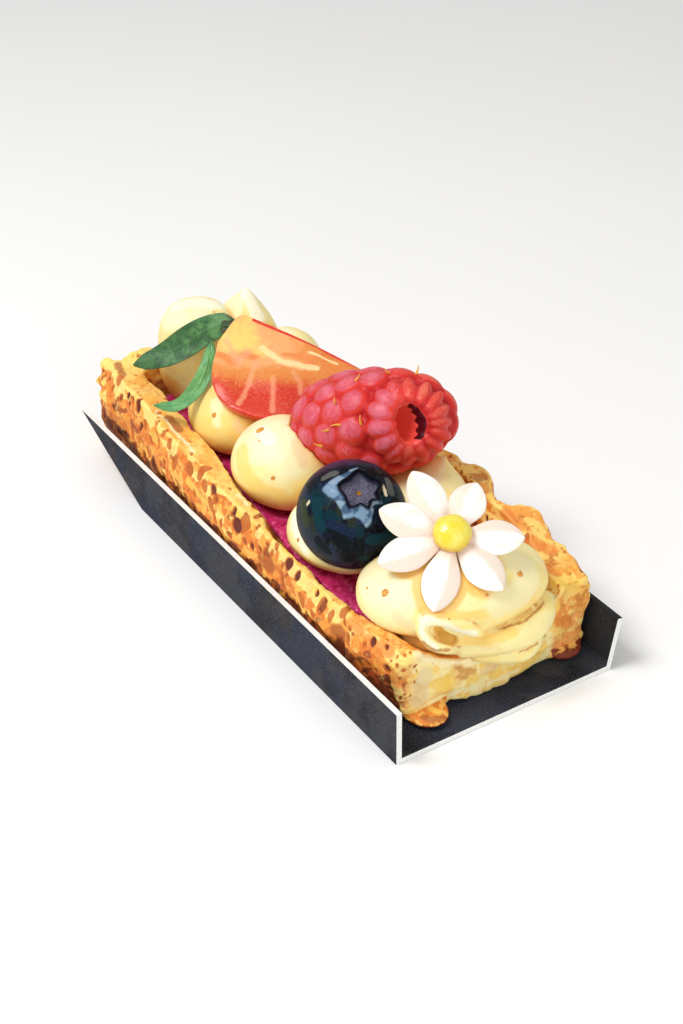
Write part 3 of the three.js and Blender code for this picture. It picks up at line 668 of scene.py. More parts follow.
class PastrySliceSettings(bpy.types.PropertyGroup):
    """Sizes and colours of the pastry slice."""

    crust_grain: FloatProperty(
        name="Crust grain",
        description="Size of the crust's mesh cells",
        default=0.32 * MM,
        unit="LENGTH",
        precision=5,
    )
    cream_grain: FloatProperty(
        name="Cream grain",
        description="Size of the swirl's mesh cells",
        default=0.3 * MM,
        unit="LENGTH",
        precision=5,
    )
    berry_grain: FloatProperty(
        name="Berry grain",
        description="Size of the raspberry's mesh cells",
        default=0.24 * MM,
        unit="LENGTH",
        precision=5,
    )
    pore_count: IntProperty(
        name="Pores", description="Oval pores tried for on the crust's sides", default=640, min=0
    )
    drupelet: FloatProperty(
        name="Drupelet",
        description="Spacing of the raspberry's drupelets",
        default=4.3 * MM,
        unit="LENGTH",
        precision=5,
    )
    drupelet_count: IntProperty(
        name="Drupelets", description="Drupelets over the whole raspberry", default=74, min=20
    )
    crust_colour: FloatVectorProperty(
        name="Crust",
        description="Golden colour of the crust",
        subtype="COLOR",
        default=colour(0.94, 0.6, 0.22)[:3],
    )
    cream_colour: FloatVectorProperty(
        name="Cream",
        description="Colour of the cream",
        subtype="COLOR",
        default=colour(0.99, 0.925, 0.66)[:3],
    )
    jam_colour: FloatVectorProperty(
        name="Jam",
        description="Colour of the jam",
        subtype="COLOR",
        default=colour(0.82, 0.2, 0.45)[:3],
    )
    berry_colour: FloatVectorProperty(
        name="Raspberry",
        description="Red of the raspberry",
        subtype="COLOR",
        default=colour(0.85, 0.22, 0.18)[:3],
    )
    card_colour: FloatVectorProperty(
        name="Card",
        description="Black of the tray's card",
        subtype="COLOR",
        default=colour(0.19, 0.2, 0.23)[:3],
    )


def settings():
    """The scene's sizes and colours."""
    return bpy.context.scene.pastry_slice


def rgba(value):
    """A colour setting as a shader takes it."""
    return tuple(value) + (1.0,)


# Finishes


def card_finish():
    finish = Finish("black card", Roughness=0.75, Specular_IOR_Level=0.2)
    clouds = finish.noise(9, 4, 0.6)
    grain = finish.noise(0.25, 2)
    # Painted shade: the inside of the right wall is darker, with fewer light specks
    right_wall_shade = finish.axis("X").above(RIGHT_WALL, RIGHT_WALL + 0.15)
    base = finish.coats(
        colour(0.09, 0.1, 0.14),
        (clouds.above(0.45, 0.55), rgba(settings().card_colour)),
        (finish.noise(6, 2, 0.5, offset=31.0).above(0.5, 0.62) * 0.45, colour(0.24, 0.2, 0.19)),
        (finish.noise(12, 2, offset=7.0).above(0.5, 0.58) * 0.6, colour(0.1, 0.15, 0.24)),
        (right_wall_shade * 0.7, colour(0.08, 0.09, 0.09)),
        (grain.above(0.42, 0.7) * (0.35 - right_wall_shade * 0.2), colour(0.4, 0.41, 0.44)),
    )
    return finish.surface(base, 0.62 + grain * 0.25, finish.relief(grain, 0.05))


def card_edge_finish():
    finish = Finish("cut card edge", Roughness=0.8)
    fibre = finish.noise(0.35, 3, stretch=(1, 0.3, 1))
    base = finish.mix(fibre.above(0.3, 0.75), colour(0.9, 0.9, 0.89), colour(0.99, 0.99, 0.98))
    return finish.surface(base, normal=finish.relief(fibre, 0.06))


def crust_finish():
    finish = Finish("golden crust", Roughness=0.6)
    noise, painted = finish.noise, finish.painted
    side, crumb = painted("side"), painted("crumb")
    clouds, small, fine = noise(5.0, 3), noise(1.3, 2, offset=5.0), noise(0.4, 4, 0.65)
    patches = noise(2.6, 3, 0.55, (1, 0.6, 1), offset=17.0)
    top = finish.mix(clouds.above(0.42, 0.56), colour(0.97, 0.72, 0.32), colour(0.99, 0.82, 0.45))
    sides = finish.mix(clouds.above(0.44, 0.56), rgba(settings().crust_colour), colour(0.98, 0.72, 0.32))
    right = painted("right") * (1 - crumb)
    glow = painted("glow") + (small - 0.5) * 0.9
    crumbs = finish.coats(
        colour(1.0, 0.93, 0.66),
        (clouds.above(0.44, 0.54), colour(1.0, 0.85, 0.44)),
        (patches.above(0.54, 0.58) * 0.6, colour(0.97, 0.77, 0.4)),
    )
    scorch = painted("scorch") + (patches - 0.5) * 2.2 + (fine - 0.5) * 0.6
    foot = finish.mix(small.above(0.44, 0.5), colour(0.99, 0.76, 0.37), colour(0.9, 0.53, 0.18))
    base = finish.coats(
        finish.mix(side, top, sides),
        (patches.above(0.5, 0.55) * (0.2 + side * 0.65), colour(0.88, 0.47, 0.15)),
        (small.above(0.54, 0.58) * (0.3 + side * 0.5), colour(0.84, 0.42, 0.13)),
        (noise(3.0, 2, offset=71.0).above(0.6, 0.63) * side * 0.9, colour(0.62, 0.28, 0.1)),
        (right * patches.above(0.44, 0.5) * 0.7, colour(0.93, 0.6, 0.24)),
        (right * (clouds + small * 0.4).above(0.74, 0.78) * 0.7, colour(0.74, 0.42, 0.14)),
        (right * noise(3.2, 2, offset=88.0).above(0.54, 0.58) * 0.8, colour(1.0, 0.85, 0.45)),
        (glow.above(0.35, 0.6) * 0.75, colour(0.89, 0.47, 0.15)),
        (glow.above(0.8, 1.0) * 0.8, colour(0.74, 0.29, 0.1)),
        # Painted highlights: bright yellow along the ridges and along the corners between the rims' tops and
        # their sides
        ((painted("ridge") + (small - 0.5) * 0.4).above(0.1, 0.22) * 0.85, colour(1.0, 0.86, 0.46)),
        ((painted("corner") + (small - 0.5) * 1.2).above(0.5, 0.7) * 0.8, colour(1.0, 0.89, 0.53)),
        (painted("pale"), colour(1.0, 0.89, 0.5)),
        (crumb, crumbs),
        (fine.above(0.5, 0.75) * 0.3, colour(0.85, 0.52, 0.2)),
        # Dark brown low on the sides near the tray wall: partly browned crust, partly painted shade
        (scorch.above(0.72, 0.9) * 0.9, colour(0.42, 0.17, 0.06)),
        ((painted("toasted") + (small - 0.5) * 0.8).above(0.45, 0.7), foot),
        ((painted("singed") + (small - 0.5) * 1.2).above(0.5, 0.7), colour(0.5, 0.19, 0.08)),
        (painted("amber") * 0.75, colour(0.9, 0.52, 0.19)),
        (painted("brown") * 0.8, colour(0.66, 0.34, 0.13)),
        (painted("beige") * 0.7, colour(0.93, 0.83, 0.63)),
        # The edge strokes are painted highlights, and the yellow strokes partly so
        (painted("yellow") * 0.7, colour(0.99, 0.82, 0.36)),
        (painted("flake") * 0.85, colour(0.83, 0.58, 0.25)),
        (painted("edge_light") * 0.8, colour(1.0, 0.95, 0.76)),
        # The pores: browner, and darker further in, partly their own tone and partly painted shade
        (painted("pore").above(0.12, 0.35) * 0.9, colour(0.76, 0.4, 0.14)),
        ((painted("deep") + (fine - 0.5) * 0.3).above(0.34, 0.54), colour(0.42, 0.16, 0.07)),
    )
    grain = finish.relief(noise(0.28, 3, 0.6), 0.05)
    return finish.surface(base, 0.5 + fine * 0.35, finish.relief(noise(0.9, 3, 0.6), 0.16, grain))


def jam_finish():
    finish = Finish("raspberry jam", Roughness=0.12, Coat_Weight=0.6, Coat_Roughness=0.05)
    base = finish.coats(
        colour(0.6, 0.07, 0.25),
        (finish.noise(2.6, 3).above(0.36, 0.5), rgba(settings().jam_colour)),
        (finish.noise(1.1, 2, offset=3.0).above(0.52, 0.62) * 0.7, colour(0.92, 0.38, 0.6)),
    )
    return finish.surface(base, normal=finish.relief(finish.noise(0.8, 2), 0.12))


def cream_finish():
    finish = Finish(
        "custard cream",
        Roughness=0.42,
        Subsurface_Weight=0.3,
        Subsurface_Radius=(1.0, 0.75, 0.4),
        Subsurface_Scale=1.0 * MM,
        Specular_IOR_Level=0.35,
    )
    noise, painted = finish.noise, finish.painted
    clouds, fine = noise(5, 2, 0.5), noise(0.35, 3, 0.6)
    base = finish.coats(
        rgba(settings().cream_colour),
        (clouds.above(0.45, 0.58) * 0.7, colour(1.0, 0.89, 0.55)),
        (noise(3.4, 2, offset=19.0).above(0.55, 0.63) * 0.4, colour(0.98, 0.84, 0.56)),
        # Painted highlight where the cream's tops face the key light
        ((painted("crown") + (clouds - 0.5) * 0.8).above(0.45, 0.75) * 0.4, colour(1.0, 0.985, 0.89)),
        # Painted shade: warmer, darker cream where neighbouring pieces close it in
        (painted("nook").above(0.15, 0.8) * 0.8, colour(0.97, 0.77, 0.4)),
        # Painted shade in the creases, browner where they are deepest
        (painted("crease").above(0.03, 0.12) * 0.8, colour(0.86, 0.6, 0.24)),
        (painted("crease").above(0.12, 0.2) * 0.7, colour(0.62, 0.38, 0.16)),
        # Painted shadow of the petals on the swirl, round their edges
        (painted("halo") * 0.75, colour(0.96, 0.74, 0.36)),
        # The strokes: yellower places partly in painted shade, browner painted shade, painted highlights, and
        # painted shade lines in the creases
        (painted("band") * 0.75, colour(1.0, 0.84, 0.44)),
        (painted("fair") * 0.7, colour(0.99, 0.95, 0.77)),
        (painted("beige") * 0.6, colour(0.95, 0.83, 0.64)),
        (painted("light") * 0.8, colour(1.0, 0.985, 0.89)),
        # Painted shade in the hollow of the curled tail
        (painted("curl"), colour(0.9, 0.7, 0.3)),
        (painted("ink") * 0.8, colour(0.72, 0.44, 0.17)),
        (fine.above(0.55, 0.75) * 0.15, colour(0.99, 0.88, 0.6)),
    )
    grain = finish.relief(fine, 0.015)
    return finish.surface(base, 0.36 + fine * 0.2, finish.relief(noise(1.6, 3), 0.12, grain))


def strawberry_finish():
    finish = Finish(
        "cut strawberry",
        Roughness=0.25,
        Subsurface_Weight=0.15,
        Subsurface_Radius=(1.0, 0.4, 0.2),
        Subsurface_Scale=1.0 * MM,
        Coat_Weight=0.15,
        Coat_Roughness=0.1,
        Specular_IOR_Level=0.3,
    )
    noise, painted = finish.noise, finish.painted
    cloud, fine, stipple = noise(3.2, 3), noise(0.3, 3), noise(0.45, 2, 0.6)
    ripe = painted("ripe") + (cloud - 0.5) * 0.3
    flesh = finish.coats(
        colour(0.97, 0.81, 0.44),
        (ripe.above(0.05, 0.2), colour(0.93, 0.66, 0.42)),
        (ripe.above(0.3, 0.5), colour(0.88, 0.54, 0.25)),
        (painted("orange") * 0.85, colour(0.89, 0.52, 0.26)),
        ((ripe + (stipple - 0.5) * 0.5).above(0.5, 0.96), colour(0.82, 0.21, 0.13)),
        (painted("pale") * 0.55, colour(0.95, 0.66, 0.49)),
        (painted("cream") * 0.9, colour(1.0, 0.86, 0.62)),
        (painted("rim").above(0.5, 0.8), colour(0.85, 0.19, 0.14)),
    )
    base = finish.coats(
        colour(0.82, 0.15, 0.1),
        (cloud.above(0.4, 0.6), colour(0.88, 0.25, 0.16)),
        (1 - painted("along").above(0.0, 0.12), colour(0.93, 0.6, 0.3)),
        (painted("face"), flesh),
        (fine.above(0.5, 0.75) * 0.2, colour(1.0, 0.84, 0.66)),
    )
    grain = finish.relief(fine, 0.02)
    return finish.surface(base, 0.24 + fine * 0.2, finish.relief(noise(0.9, 3), 0.1, grain))


def leaf_finish(name, dark, light, edge, mottled):
    finish = Finish(name, Roughness=0.45)
    noise, painted = finish.noise, finish.painted
    vein, cloud, fine = painted("vein"), noise(2.4, 3), noise(0.35, 3)
    bark = finish.mix(cloud.above(0.5, 0.56), colour(0.19, 0.29, 0.15), colour(0.33, 0.2, 0.11))
    base = finish.coats(
        dark,
        (cloud.above(0.44, 0.58) * 0.8, light),
        (noise(2.0, 3, offset=9.0).above(0.5, 0.56) * mottled, edge),
        (painted("tipward").above(0.3, 0.9) * 0.5, edge),
        (vein * 0.25, light),
        (painted("margin") * 0.6, edge),
        (painted("joint"), bark),
        (fine.above(0.52, 0.8) * 0.3, light),
    )
    return finish.surface(base, 0.36 + fine * 0.25, finish.relief(fine, 0.04, finish.relief(vein, 0.12)))


def raspberry_finish():
    finish = Finish(
        "raspberry skin",
        Roughness=0.42,
        Subsurface_Weight=0.25,
        Subsurface_Radius=(1.0, 0.25, 0.2),
        Subsurface_Scale=0.9 * MM,
        Coat_Weight=0.05,
        Coat_Roughness=0.2,
        Specular_IOR_Level=0.25,
        Emission_Strength=0.5,
    )
    noise, painted = finish.noise, finish.painted
    cloud, fine, stipple = noise(1.8, 3), noise(0.26, 3), noise(0.42, 2, 0.6)
    warm, patch = painted("warm"), painted("patch") + (cloud - 0.5) * 0.35
    pink_highlight = finish.mix(warm, colour(0.82, 0.34, 0.41), colour(0.86, 0.36, 0.29))
    palest = finish.mix(warm, colour(0.88, 0.48, 0.55), colour(0.9, 0.45, 0.37))
    covered = (painted("bloom") + (stipple - 0.5) * 0.9).above(0.26, 0.46)
    pit, shade = painted("pit"), painted("shade").above(0.4, 0.6)
    base = finish.coats(
        # Painted shade: a darker red in the crevices between drupelets, their own red on the crests
        colour(0.76, 0.13, 0.14),
        (painted("crest").above(-0.05, 0.22), rgba(settings().berry_colour)),
        # Painted highlights: pink patches on the drupelets' sides that face the key light
        (patch.above(0.0, 0.05) * covered * 0.8, pink_highlight),
        (patch.above(0.22, 0.32) * covered * cloud.above(0.44, 0.56) * 0.5, palest),
        (pit, colour(0.84, 0.3, 0.25)),
        (shade, colour(0.3, 0.03, 0.08)),
    )
    # Painted light: the walls of the hollow glow, to make it lighter
    glow = finish.mix(pit * (1 - shade), colour(0, 0, 0), colour(0.55, 0.17, 0.14))
    finish.feed("Emission Color", glow)
    return finish.surface(base, 0.3 + fine * 0.25, finish.relief(fine, 0.02))


def blueberry_finish():
    finish = Finish(
        "blueberry skin", Roughness=0.4, Coat_Weight=0.03, Coat_Roughness=0.12, Specular_IOR_Level=0.05
    )
    noise, painted = finish.noise, finish.painted
    cloud, fine, dust = noise(3.2, 2, 0.5), noise(0.22, 3), painted("dust")
    haze = painted("haze") + (noise(2.2, 3, offset=23.0) - 0.5) * 2.0
    bloom = finish.coats(
        colour(0.27, 0.37, 0.48),
        (cloud.above(0.46, 0.54), colour(0.49, 0.6, 0.7)),
        (noise(1.9, 2, offset=3.0).above(0.53, 0.57) * 0.7, colour(0.62, 0.7, 0.77)),
    )
    dish = finish.mix(fine.above(0.42, 0.6), colour(0.3, 0.29, 0.36), colour(0.44, 0.42, 0.5))
    base = finish.coats(
        colour(0.03, 0.035, 0.06),
        (cloud.above(0.48, 0.52), colour(0.06, 0.085, 0.14)),
        (noise(3.4, 2, offset=40.0).above(0.52, 0.55) * 0.9, colour(0.03, 0.17, 0.2)),
        (noise(2.8, 2, offset=11.0).above(0.57, 0.6) * 0.85, colour(0.15, 0.18, 0.12)),
        (noise(2.6, 2, offset=57.0).above(0.58, 0.61) * 0.8, colour(0.11, 0.17, 0.27)),
        (haze.above(0.75, 0.82) * 0.6, colour(0.17, 0.19, 0.24)),
        (painted("black") * 0.9, colour(0.03, 0.04, 0.06)),
        (painted("teal") * 0.9, colour(0.03, 0.2, 0.24)),
        (painted("navy") * 0.9, colour(0.09, 0.14, 0.24)),
        (painted("olive") * 0.9, colour(0.2, 0.23, 0.13)),
        # Painted highlights and a painted reflection of a petal: the spark strokes, with one of the grey
        # strokes
        (painted("grey") * 0.9, colour(0.36, 0.36, 0.35)),
        (painted("spark") * 0.9, colour(0.88, 0.82, 0.68)),
        (painted("blush") * 0.8, colour(0.33, 0.13, 0.31)),
        (dust * 0.92, bloom),
        # The painted highlights once more, over the bloom
        (painted("spark"), colour(0.88, 0.82, 0.68)),
        (fine.above(0.5, 0.7) * 0.1, colour(0.4, 0.45, 0.55)),
        (painted("dish"), dish),
        (painted("outline"), colour(0.05, 0.05, 0.09)),
        (painted("scar").above(0.3, 0.6), colour(0.62, 0.42, 0.15)),
    )
    skin = finish.relief(fine, 0.015, finish.relief(noise(1.2, 2), 0.05))
    return finish.surface(base, 0.3 + dust * 0.3 + fine * 0.15, skin)


def petal_finish():
    finish = Finish(
        "white sugar paste",
        Roughness=0.5,
        Subsurface_Weight=0.15,
        Subsurface_Radius=(1.0, 0.8, 0.6),
        Subsurface_Scale=0.8 * MM,
    )
    noise, painted = finish.noise, finish.painted
    fine, cloud = noise(0.5, 4), noise(1.5, 3)
    shade = painted("side") * 0.7 + (cloud - 0.5) * 0.8
    base = finish.coats(
        colour(0.985, 0.97, 0.95),
        (noise(3, 2).above(0.4, 0.65), colour(0.985, 0.955, 0.925)),
        (shade.above(0.15, 0.6) * 0.85, colour(0.92, 0.85, 0.78)),
        (noise(1.8, 3, offset=31.0).above(0.54, 0.62) * 0.4, colour(0.95, 0.87, 0.79)),
        # Painted shade at the petals' bases
        ((painted("base") + (cloud - 0.5) * 0.5).above(0.25, 0.9) * 0.75, colour(0.93, 0.82, 0.74)),
        # Brown painted shade in the slits between the petals
        (painted("slit").above(0.35, 0.7) * 0.85, colour(0.66, 0.42, 0.26)),
    )
    return finish.surface(base, 0.42 + fine * 0.2, finish.relief(fine, 0.04))


def button_finish():
    finish = Finish("yellow sugar", Roughness=0.18, Coat_Weight=0.4, Coat_Roughness=0.08)
    cloud = finish.noise(1.6, 3)
    base = finish.coats(
        colour(0.95, 0.84, 0.2),
        (cloud.above(0.4, 0.62), colour(0.93, 0.87, 0.34)),
        (finish.painted("skirt"), colour(0.88, 0.7, 0.2)),
    )
    return finish.surface(base, 0.14 + cloud * 0.15, finish.relief(finish.cells(0.45), 0.05))


def speck_finish():
    finish = Finish("browned speck", Roughness=0.5)
    cloud = finish.noise(0.4, 2)
    base = finish.mix(cloud.above(0.4, 0.6), colour(0.8, 0.5, 0.16), colour(0.9, 0.66, 0.28))
    return finish.surface(base, normal=finish.relief(cloud, 0.1))


def hair_finish():
    finish = Finish("golden hair", Roughness=0.4)
    cloud = finish.noise(0.6, 2)
    return finish.surface(finish.mix(cloud, colour(0.93, 0.66, 0.2), colour(0.98, 0.82, 0.4)))


def floor_finish():
    finish = Finish("pale floor", Roughness=0.7)
    cloud = finish.noise(60, 3)
    return finish.surface(finish.mix(cloud, colour(0.97, 0.97, 0.97), colour(0.985, 0.985, 0.985)))


# Forms


def shoulder_of(t, widest=0.36):
    """The share of its full reach that the strawberry half has along its length."""
    rise = (1 - (1 - np.minimum(t / widest, 1)) ** 2.6) ** 0.45
    return rise * np.cos(np.maximum(0, (t - widest) / (1 - widest)) * 1.54) ** 0.8


def upper_edge_of(t):
    """How far the strawberry's nearly straight upper edge is from its axis."""
    first, last = STRAWBERRY["high"]
    start = (1 - (1 - np.minimum(t / 0.07, 1)) ** 2.4) ** 0.4
    end = np.sqrt(1 - np.maximum(0, (t - 0.86) / 0.15) ** 2)
    return (first + (last - first) * t + 0.6 * np.sin(math.pi * t)) * (start * end)


def raspberry_point(a, t, lift=0):
    """The raspberry's outline at a turn and a share of its length, drawn out by a lift."""
    wide = RASPBERRY["radius"] * np.sin(math.pi * t) ** 0.72 + lift
    along = -np.cos(math.pi * t) * (RASPBERRY["length"] / 2 + lift)
    return np.stack([wide * np.cos(a), wide * np.sin(a), along], axis=-1)


def mound(name, at, reach, top, tip=(0, 0, 0), turn=0, base=ON_JAM, shoulders=0.86):
    """A mound of piped cream: a foot drawn in, a belly and a crown that may be pulled into a peak."""
    foot, under = 0.37, 0.1

    def shape(a, t):
        up = np.clip((t - under) / (1 - under), 0, 1)
        angle = (-0.3 + 0.8 * up) * math.pi
        rise = foot + np.where(angle < 0, foot / 0.81, 1 - foot) * np.sin(angle)
        peak = np.maximum(0, (up - 0.475) / 0.525) ** 2 if tip[2] else np.zeros_like(up)
        share = np.maximum(np.cos(angle), 0) ** shoulders * (1 - 0.4 * peak)
        share = np.where(t < under, math.cos(0.3 * math.pi) ** shoulders * t / under, share)
        seed = np.stack([3 * np.cos(a) + at[0], 3 * np.sin(a) + at[1], 4 * up], axis=1)
        wobble = 1 + 0.045 * lumps(seed, 2.3) + 0.02 * lumps(seed + 7, 1.1)
        x, y = reach[0] * np.cos(a) * share * wobble, reach[1] * np.sin(a) * share * wobble
        turned = math.radians(turn)
        return np.stack(
            [
                at[0] + x * math.cos(turned) - y * math.sin(turned) + tip[0] * peak,
                at[1] + x * math.sin(turned) + y * math.cos(turned) + tip[1] * peak,
                base + (top - base) * rise + tip[2] * peak,
            ],
            axis=1,
        )

    return wrapped(name, 96, 64, shape)


def rope(radius, path):
    """A tapering rope of cream along a path."""

    def shape(a, t):
        at, way = along_path(path, t)
        side = crossed(np.broadcast_to([0, 0, 1.0], way.shape), way)
        up = np.cross(way, side)
        size = radius * (0.35 + 0.65 * np.maximum(np.sin(math.pi * (0.06 + 0.88 * t)), 0) ** 0.5)
        size = size * np.minimum(1, 2.2 * np.sqrt(np.maximum(t * (1 - t), 0)) * 2.2)
        return at + side * (size * np.cos(a))[:, None] + up * (size * np.sin(a))[:, None]

    return outward(wrapped("rope", 40, 90, shape))


def kept_clear(mesh, trees, gap):
    """Moves points that are inside the trees' solids, or too near them, out again."""
    points = points_of(mesh)
    for index, point in enumerate(points):
        place = Vector(point)
        for tree in trees:
            near, normal, _, _ = tree.find_nearest(place)
            if near is not None and (place - near).dot(normal) < gap and (place - near).length < DEEPEST:
                place = near + normal * gap
        points[index] = place
    move_points(mesh, points)
    return mesh


def drawn_back(mesh, core, trees, gap):
    """Shortens the way from the core to each point where a tree's solid is in the way."""
    points = points_of(mesh)
    core = Vector(core)
    for index, point in enumerate(points):
        way = Vector(point) - core
        length = way.length
        if length < 0.01:
            continue
        way /= length
        reach = length
        for tree in trees:
            hit = tree.ray_cast(core, way, reach + gap)
            if hit[0] is not None:
                reach = min(reach, max(hit[3] - gap, NEAREST))
        points[index] = core + way * reach
    move_points(mesh, points)
    return mesh


# Places in the view


def camera_place():
    """The camera's place in millimetres and how it is turned."""
    a, e = math.radians(AZIMUTH), math.radians(ELEVATION)
    back = Vector((math.sin(a) * math.cos(e), -math.cos(a) * math.cos(e), math.sin(e)))
    return Vector(TARGET) + back * DISTANCE, (-back).to_track_quat("-Z", "Y")


def seen_at(px, py, trees):
    """The place and the normal where the camera's ray through a pixel of the view meets the trees."""
    start, turn = camera_place()
    wide, high = VIEW_PIXELS
    half = high / 2
    way = turn @ Vector(((px - wide / 2) / half, (half - py) / half, -LENS / (SENSOR / 2)))
    way.normalize()
    hits = [tree.ray_cast(start, way) for tree in trees]
    spot, normal, _, _ = min((hit for hit in hits if hit[0] is not None), key=lambda hit: hit[3])
    return spot, normal


def paint_strokes(mesh, strokes):
    """Paints how near each point is to the strokes of each tone, from 0 to 1."""
    points = points_of(mesh)
    tree = [tree_of(mesh)]
    tones = {tone: np.zeros(len(points)) for tone, _, _ in strokes}
    ragged = lumps(points, 1.1)
    for tone, wide, pixels in strokes:
        spots = [np.array(seen_at(px, py, tree)[0]) for px, py in pixels]
        for first, second in zip(spots, spots[1:]):
            away = from_segment(points, first, second)[1] + ragged * min(0.3, 0.35 * wide)
            tones[tone] = np.maximum(tones[tone], 1 - ease(away, wide * 0.8, wide * 1.3))
    paint(mesh, **tones)


# Operators, one for each piece or group of like pieces

# Search trees of the pieces so far, for those that keep clear of them
BUILT = {}
# Pieces that shade the cream
BESIDE_CREAM = (
    "raspberry_fruit", "blueberry_fruit", "strawberry_cut", "leaf_dark_blade",
    "crust", "jam", "sugar_petals",
)


class PASTRY_OT_tray(bpy.types.Operator):
    """Bevels the folded card tray's edges and gives it its card and cut edge finishes"""

    bl_idname = "pastry.tray"
    bl_label = "Card tray"

    def execute(self, context):
        form = merged(frame["nodes"]["tray"].data)
        bmesh.ops.dissolve_limit(form, angle_limit=math.radians(1), verts=form.verts, edges=form.edges)
        sharp = [edge for edge in form.edges if edge.calc_face_angle(0) > math.radians(30)]
        bmesh.ops.bevel(
            form,
            geom=sharp,
            offset=CARD_BEVEL * MM,
            segments=2,
            profile=0.5,
            affect="EDGES",
            material=-1,
            clamp_overlap=True,
        )
        mesh = mesh_from(form, "tray")
        mesh.materials.clear()
        mesh.materials.append(card_finish().material)
        mesh.materials.append(card_edge_finish().material)
        for face in mesh.polygons:
            middle = face.center / MM
            # Painted shade: the right wall's top cut edge keeps the black card finish, where the left wall's
            # top edge and the faces at the ends get the white cut edge finish
            left_rim = face.normal.z > 0.6 and middle.z > WALL_TOP - 0.6 and middle.x < 0
            face.material_index = int(left_rim or abs(face.normal.y) > 0.45)
        piece = dress("card_tray", mesh, None, "card", "tray")
        piece.data.polygons.foreach_set("use_smooth", [False] * len(mesh.polygons))
        return {"FINISHED"}


class PASTRY_OT_raspberry(bpy.types.Operator):
    """Grows the raspberry from its drupelets and cuts its hollow"""

    bl_idname = "pastry.raspberry"
    bl_label = "Raspberry"

    def execute(self, context):
        place = pointing(RASPBERRY["axis"], RASPBERRY["at"])
        inside = place.inverted()
        turned = inside @ pointing(HOLLOW["axis"], HOLLOW["at"])
        drupelets = self.drupelets(turned)
        shells = [wrapped("core", 48, 36, lambda a, t: raspberry_point(a, t, -RASPBERRY["core_depth"]))]
        for spot, normal, outwards, long, wide in drupelets:
            turn = Matrix((*beside(normal, outwards), normal)).transposed()
            stretch = np.array(turn) @ np.diag([wide, long, RASPBERRY["drupelet_rise"]])
            mesh, ball = unit_ball("drupelet")
            move_points(mesh, ball @ stretch.T + np.array(spot - normal * RASPBERRY["drupelet_depth"]))
            shells.append(outward(mesh))
        cutter = self.cutter(turned)
        grain = settings().berry_grain / MM
        skin = skinned(joined("raspberry", shells), grain * 1.2, 0)
        cut = {"operation": "DIFFERENCE", "object": cutter, "solver": "EXACT"}
        skin = modified(skin, ("BOOLEAN", cut))
        bpy.data.objects.remove(cutter)
        skin = skinned(skin, grain, 2)
        points = points_of(skin)
        towards_light = inside.to_3x3() @ Vector((-0.5, -0.1, 0.86))
        crest, patch, bloom = self.drupelet_shares(points, drupelets, np.array(towards_light))
        across, upwards, out = apply(turned.inverted(), points).T
        upwards = upwards / HOLLOW["tall"]
        pit = 1 - ease(np.hypot(across, upwards), HOLLOW["mouth"], HOLLOW["mouth"] * 1.16)
        pit = pit * (out > -HOLLOW["depth"] - 0.5)
        # The shade on the right of the hollow ends in teeth
        turn = np.arctan2(upwards, across)
        teeth = 1.1 * (0.5 + 0.5 * np.cos(HOLLOW["flutes"] * turn))
        out = spread_over(skin, out, 2)
        shade = ease(np.cos(turn - 0.1), 0.2, 0.5) * ease(out, 2.4 - teeth, 3.2 - teeth)
        points = apply(place, points)
        move_points(skin, points)
        # Painted highlights on the drupelets that face the key light
        upper = ease(normals_of(skin) @ np.array([-0.45, -0.1, 0.89]), -0.2, 0.6)
        warm = ease(points @ np.array([0.838, -0.545, 0]), 10.5, 13.5)
        paint(skin, crest=crest, patch=patch, pit=pit, shade=pit * shade, bloom=bloom * upper, warm=warm)
        BUILT["raspberry"] = tree_of(skin)
        dress("raspberry_fruit", skin, raspberry_finish(), "raspberry", "raspberry")
        self.hairs()
        return {"FINISHED"}

    def cutter(self, turned):
        """A fluted cone that cuts the hollow."""
        form = bmesh.new()
        bmesh.ops.create_cone(
            form,
            cap_ends=True,
            segments=60,
            radius1=HOLLOW["bottom"],
            radius2=HOLLOW["mouth"] * 1.05,
            depth=HOLLOW["cutter"],
        )
        mesh = mesh_from(form, "hollow")
        cone = points_of(mesh) * MM
        flare = 1 + 0.07 * np.cos(HOLLOW["flutes"] * np.arctan2(cone[:, 1], cone[:, 0]))
        cone = cone * np.stack([flare, flare * HOLLOW["tall"], np.ones(len(cone))], axis=1)
        cone[:, 2] += HOLLOW["cutter"] / 2 - HOLLOW["depth"]
        move_points(mesh, apply(turned, cone))
        return linked("hollow", outward(mesh))

    def drupelet_shares(self, points, drupelets, light):
        """How near each point is to its drupelet's middle and to its patch of painted highlight, which lies
        towards the light, and that highlight's share.
        """
        draw = random.Random(4)
        spots, normals, outwards, longs, wides = zip(*drupelets)
        sides, ups = np.array([beside(*ways) for ways in zip(normals, outwards)]).transpose(1, 0, 2)
        tones = np.array([draw.uniform(0.3, 1) for _ in drupelets])
        step = points[:, None, :] - np.array(spots)[None]
        u = (step * sides).sum(axis=2) / np.array(wides)
        v = (step * ups).sum(axis=2) / np.array(longs)
        height = (step * np.array(normals)).sum(axis=2) / 3
        away = np.sqrt(u * u + v * v + height * height)
        which = away.argmin(axis=1)
        every = np.arange(len(points))
        u, v = u[every, which], v[every, which]
        side_light, up_light = (sides @ light)[which], (ups @ light)[which]
        shifted = np.hypot(u - 0.2 * side_light, v - 0.2 * up_light)
        lit = u * side_light + v * up_light
        return 1 - away[every, which], 0.74 - shifted, tones[which] * ease(lit, -0.75, 0.15)

    def drupelets(self, turned):
        """Each drupelet's place, its normal, its long axis, its length and its width."""
        body = tree_of(wrapped("body", 64, 48, raspberry_point))
        hollow_axis = turned.col[2].to_3d()
        middles = []
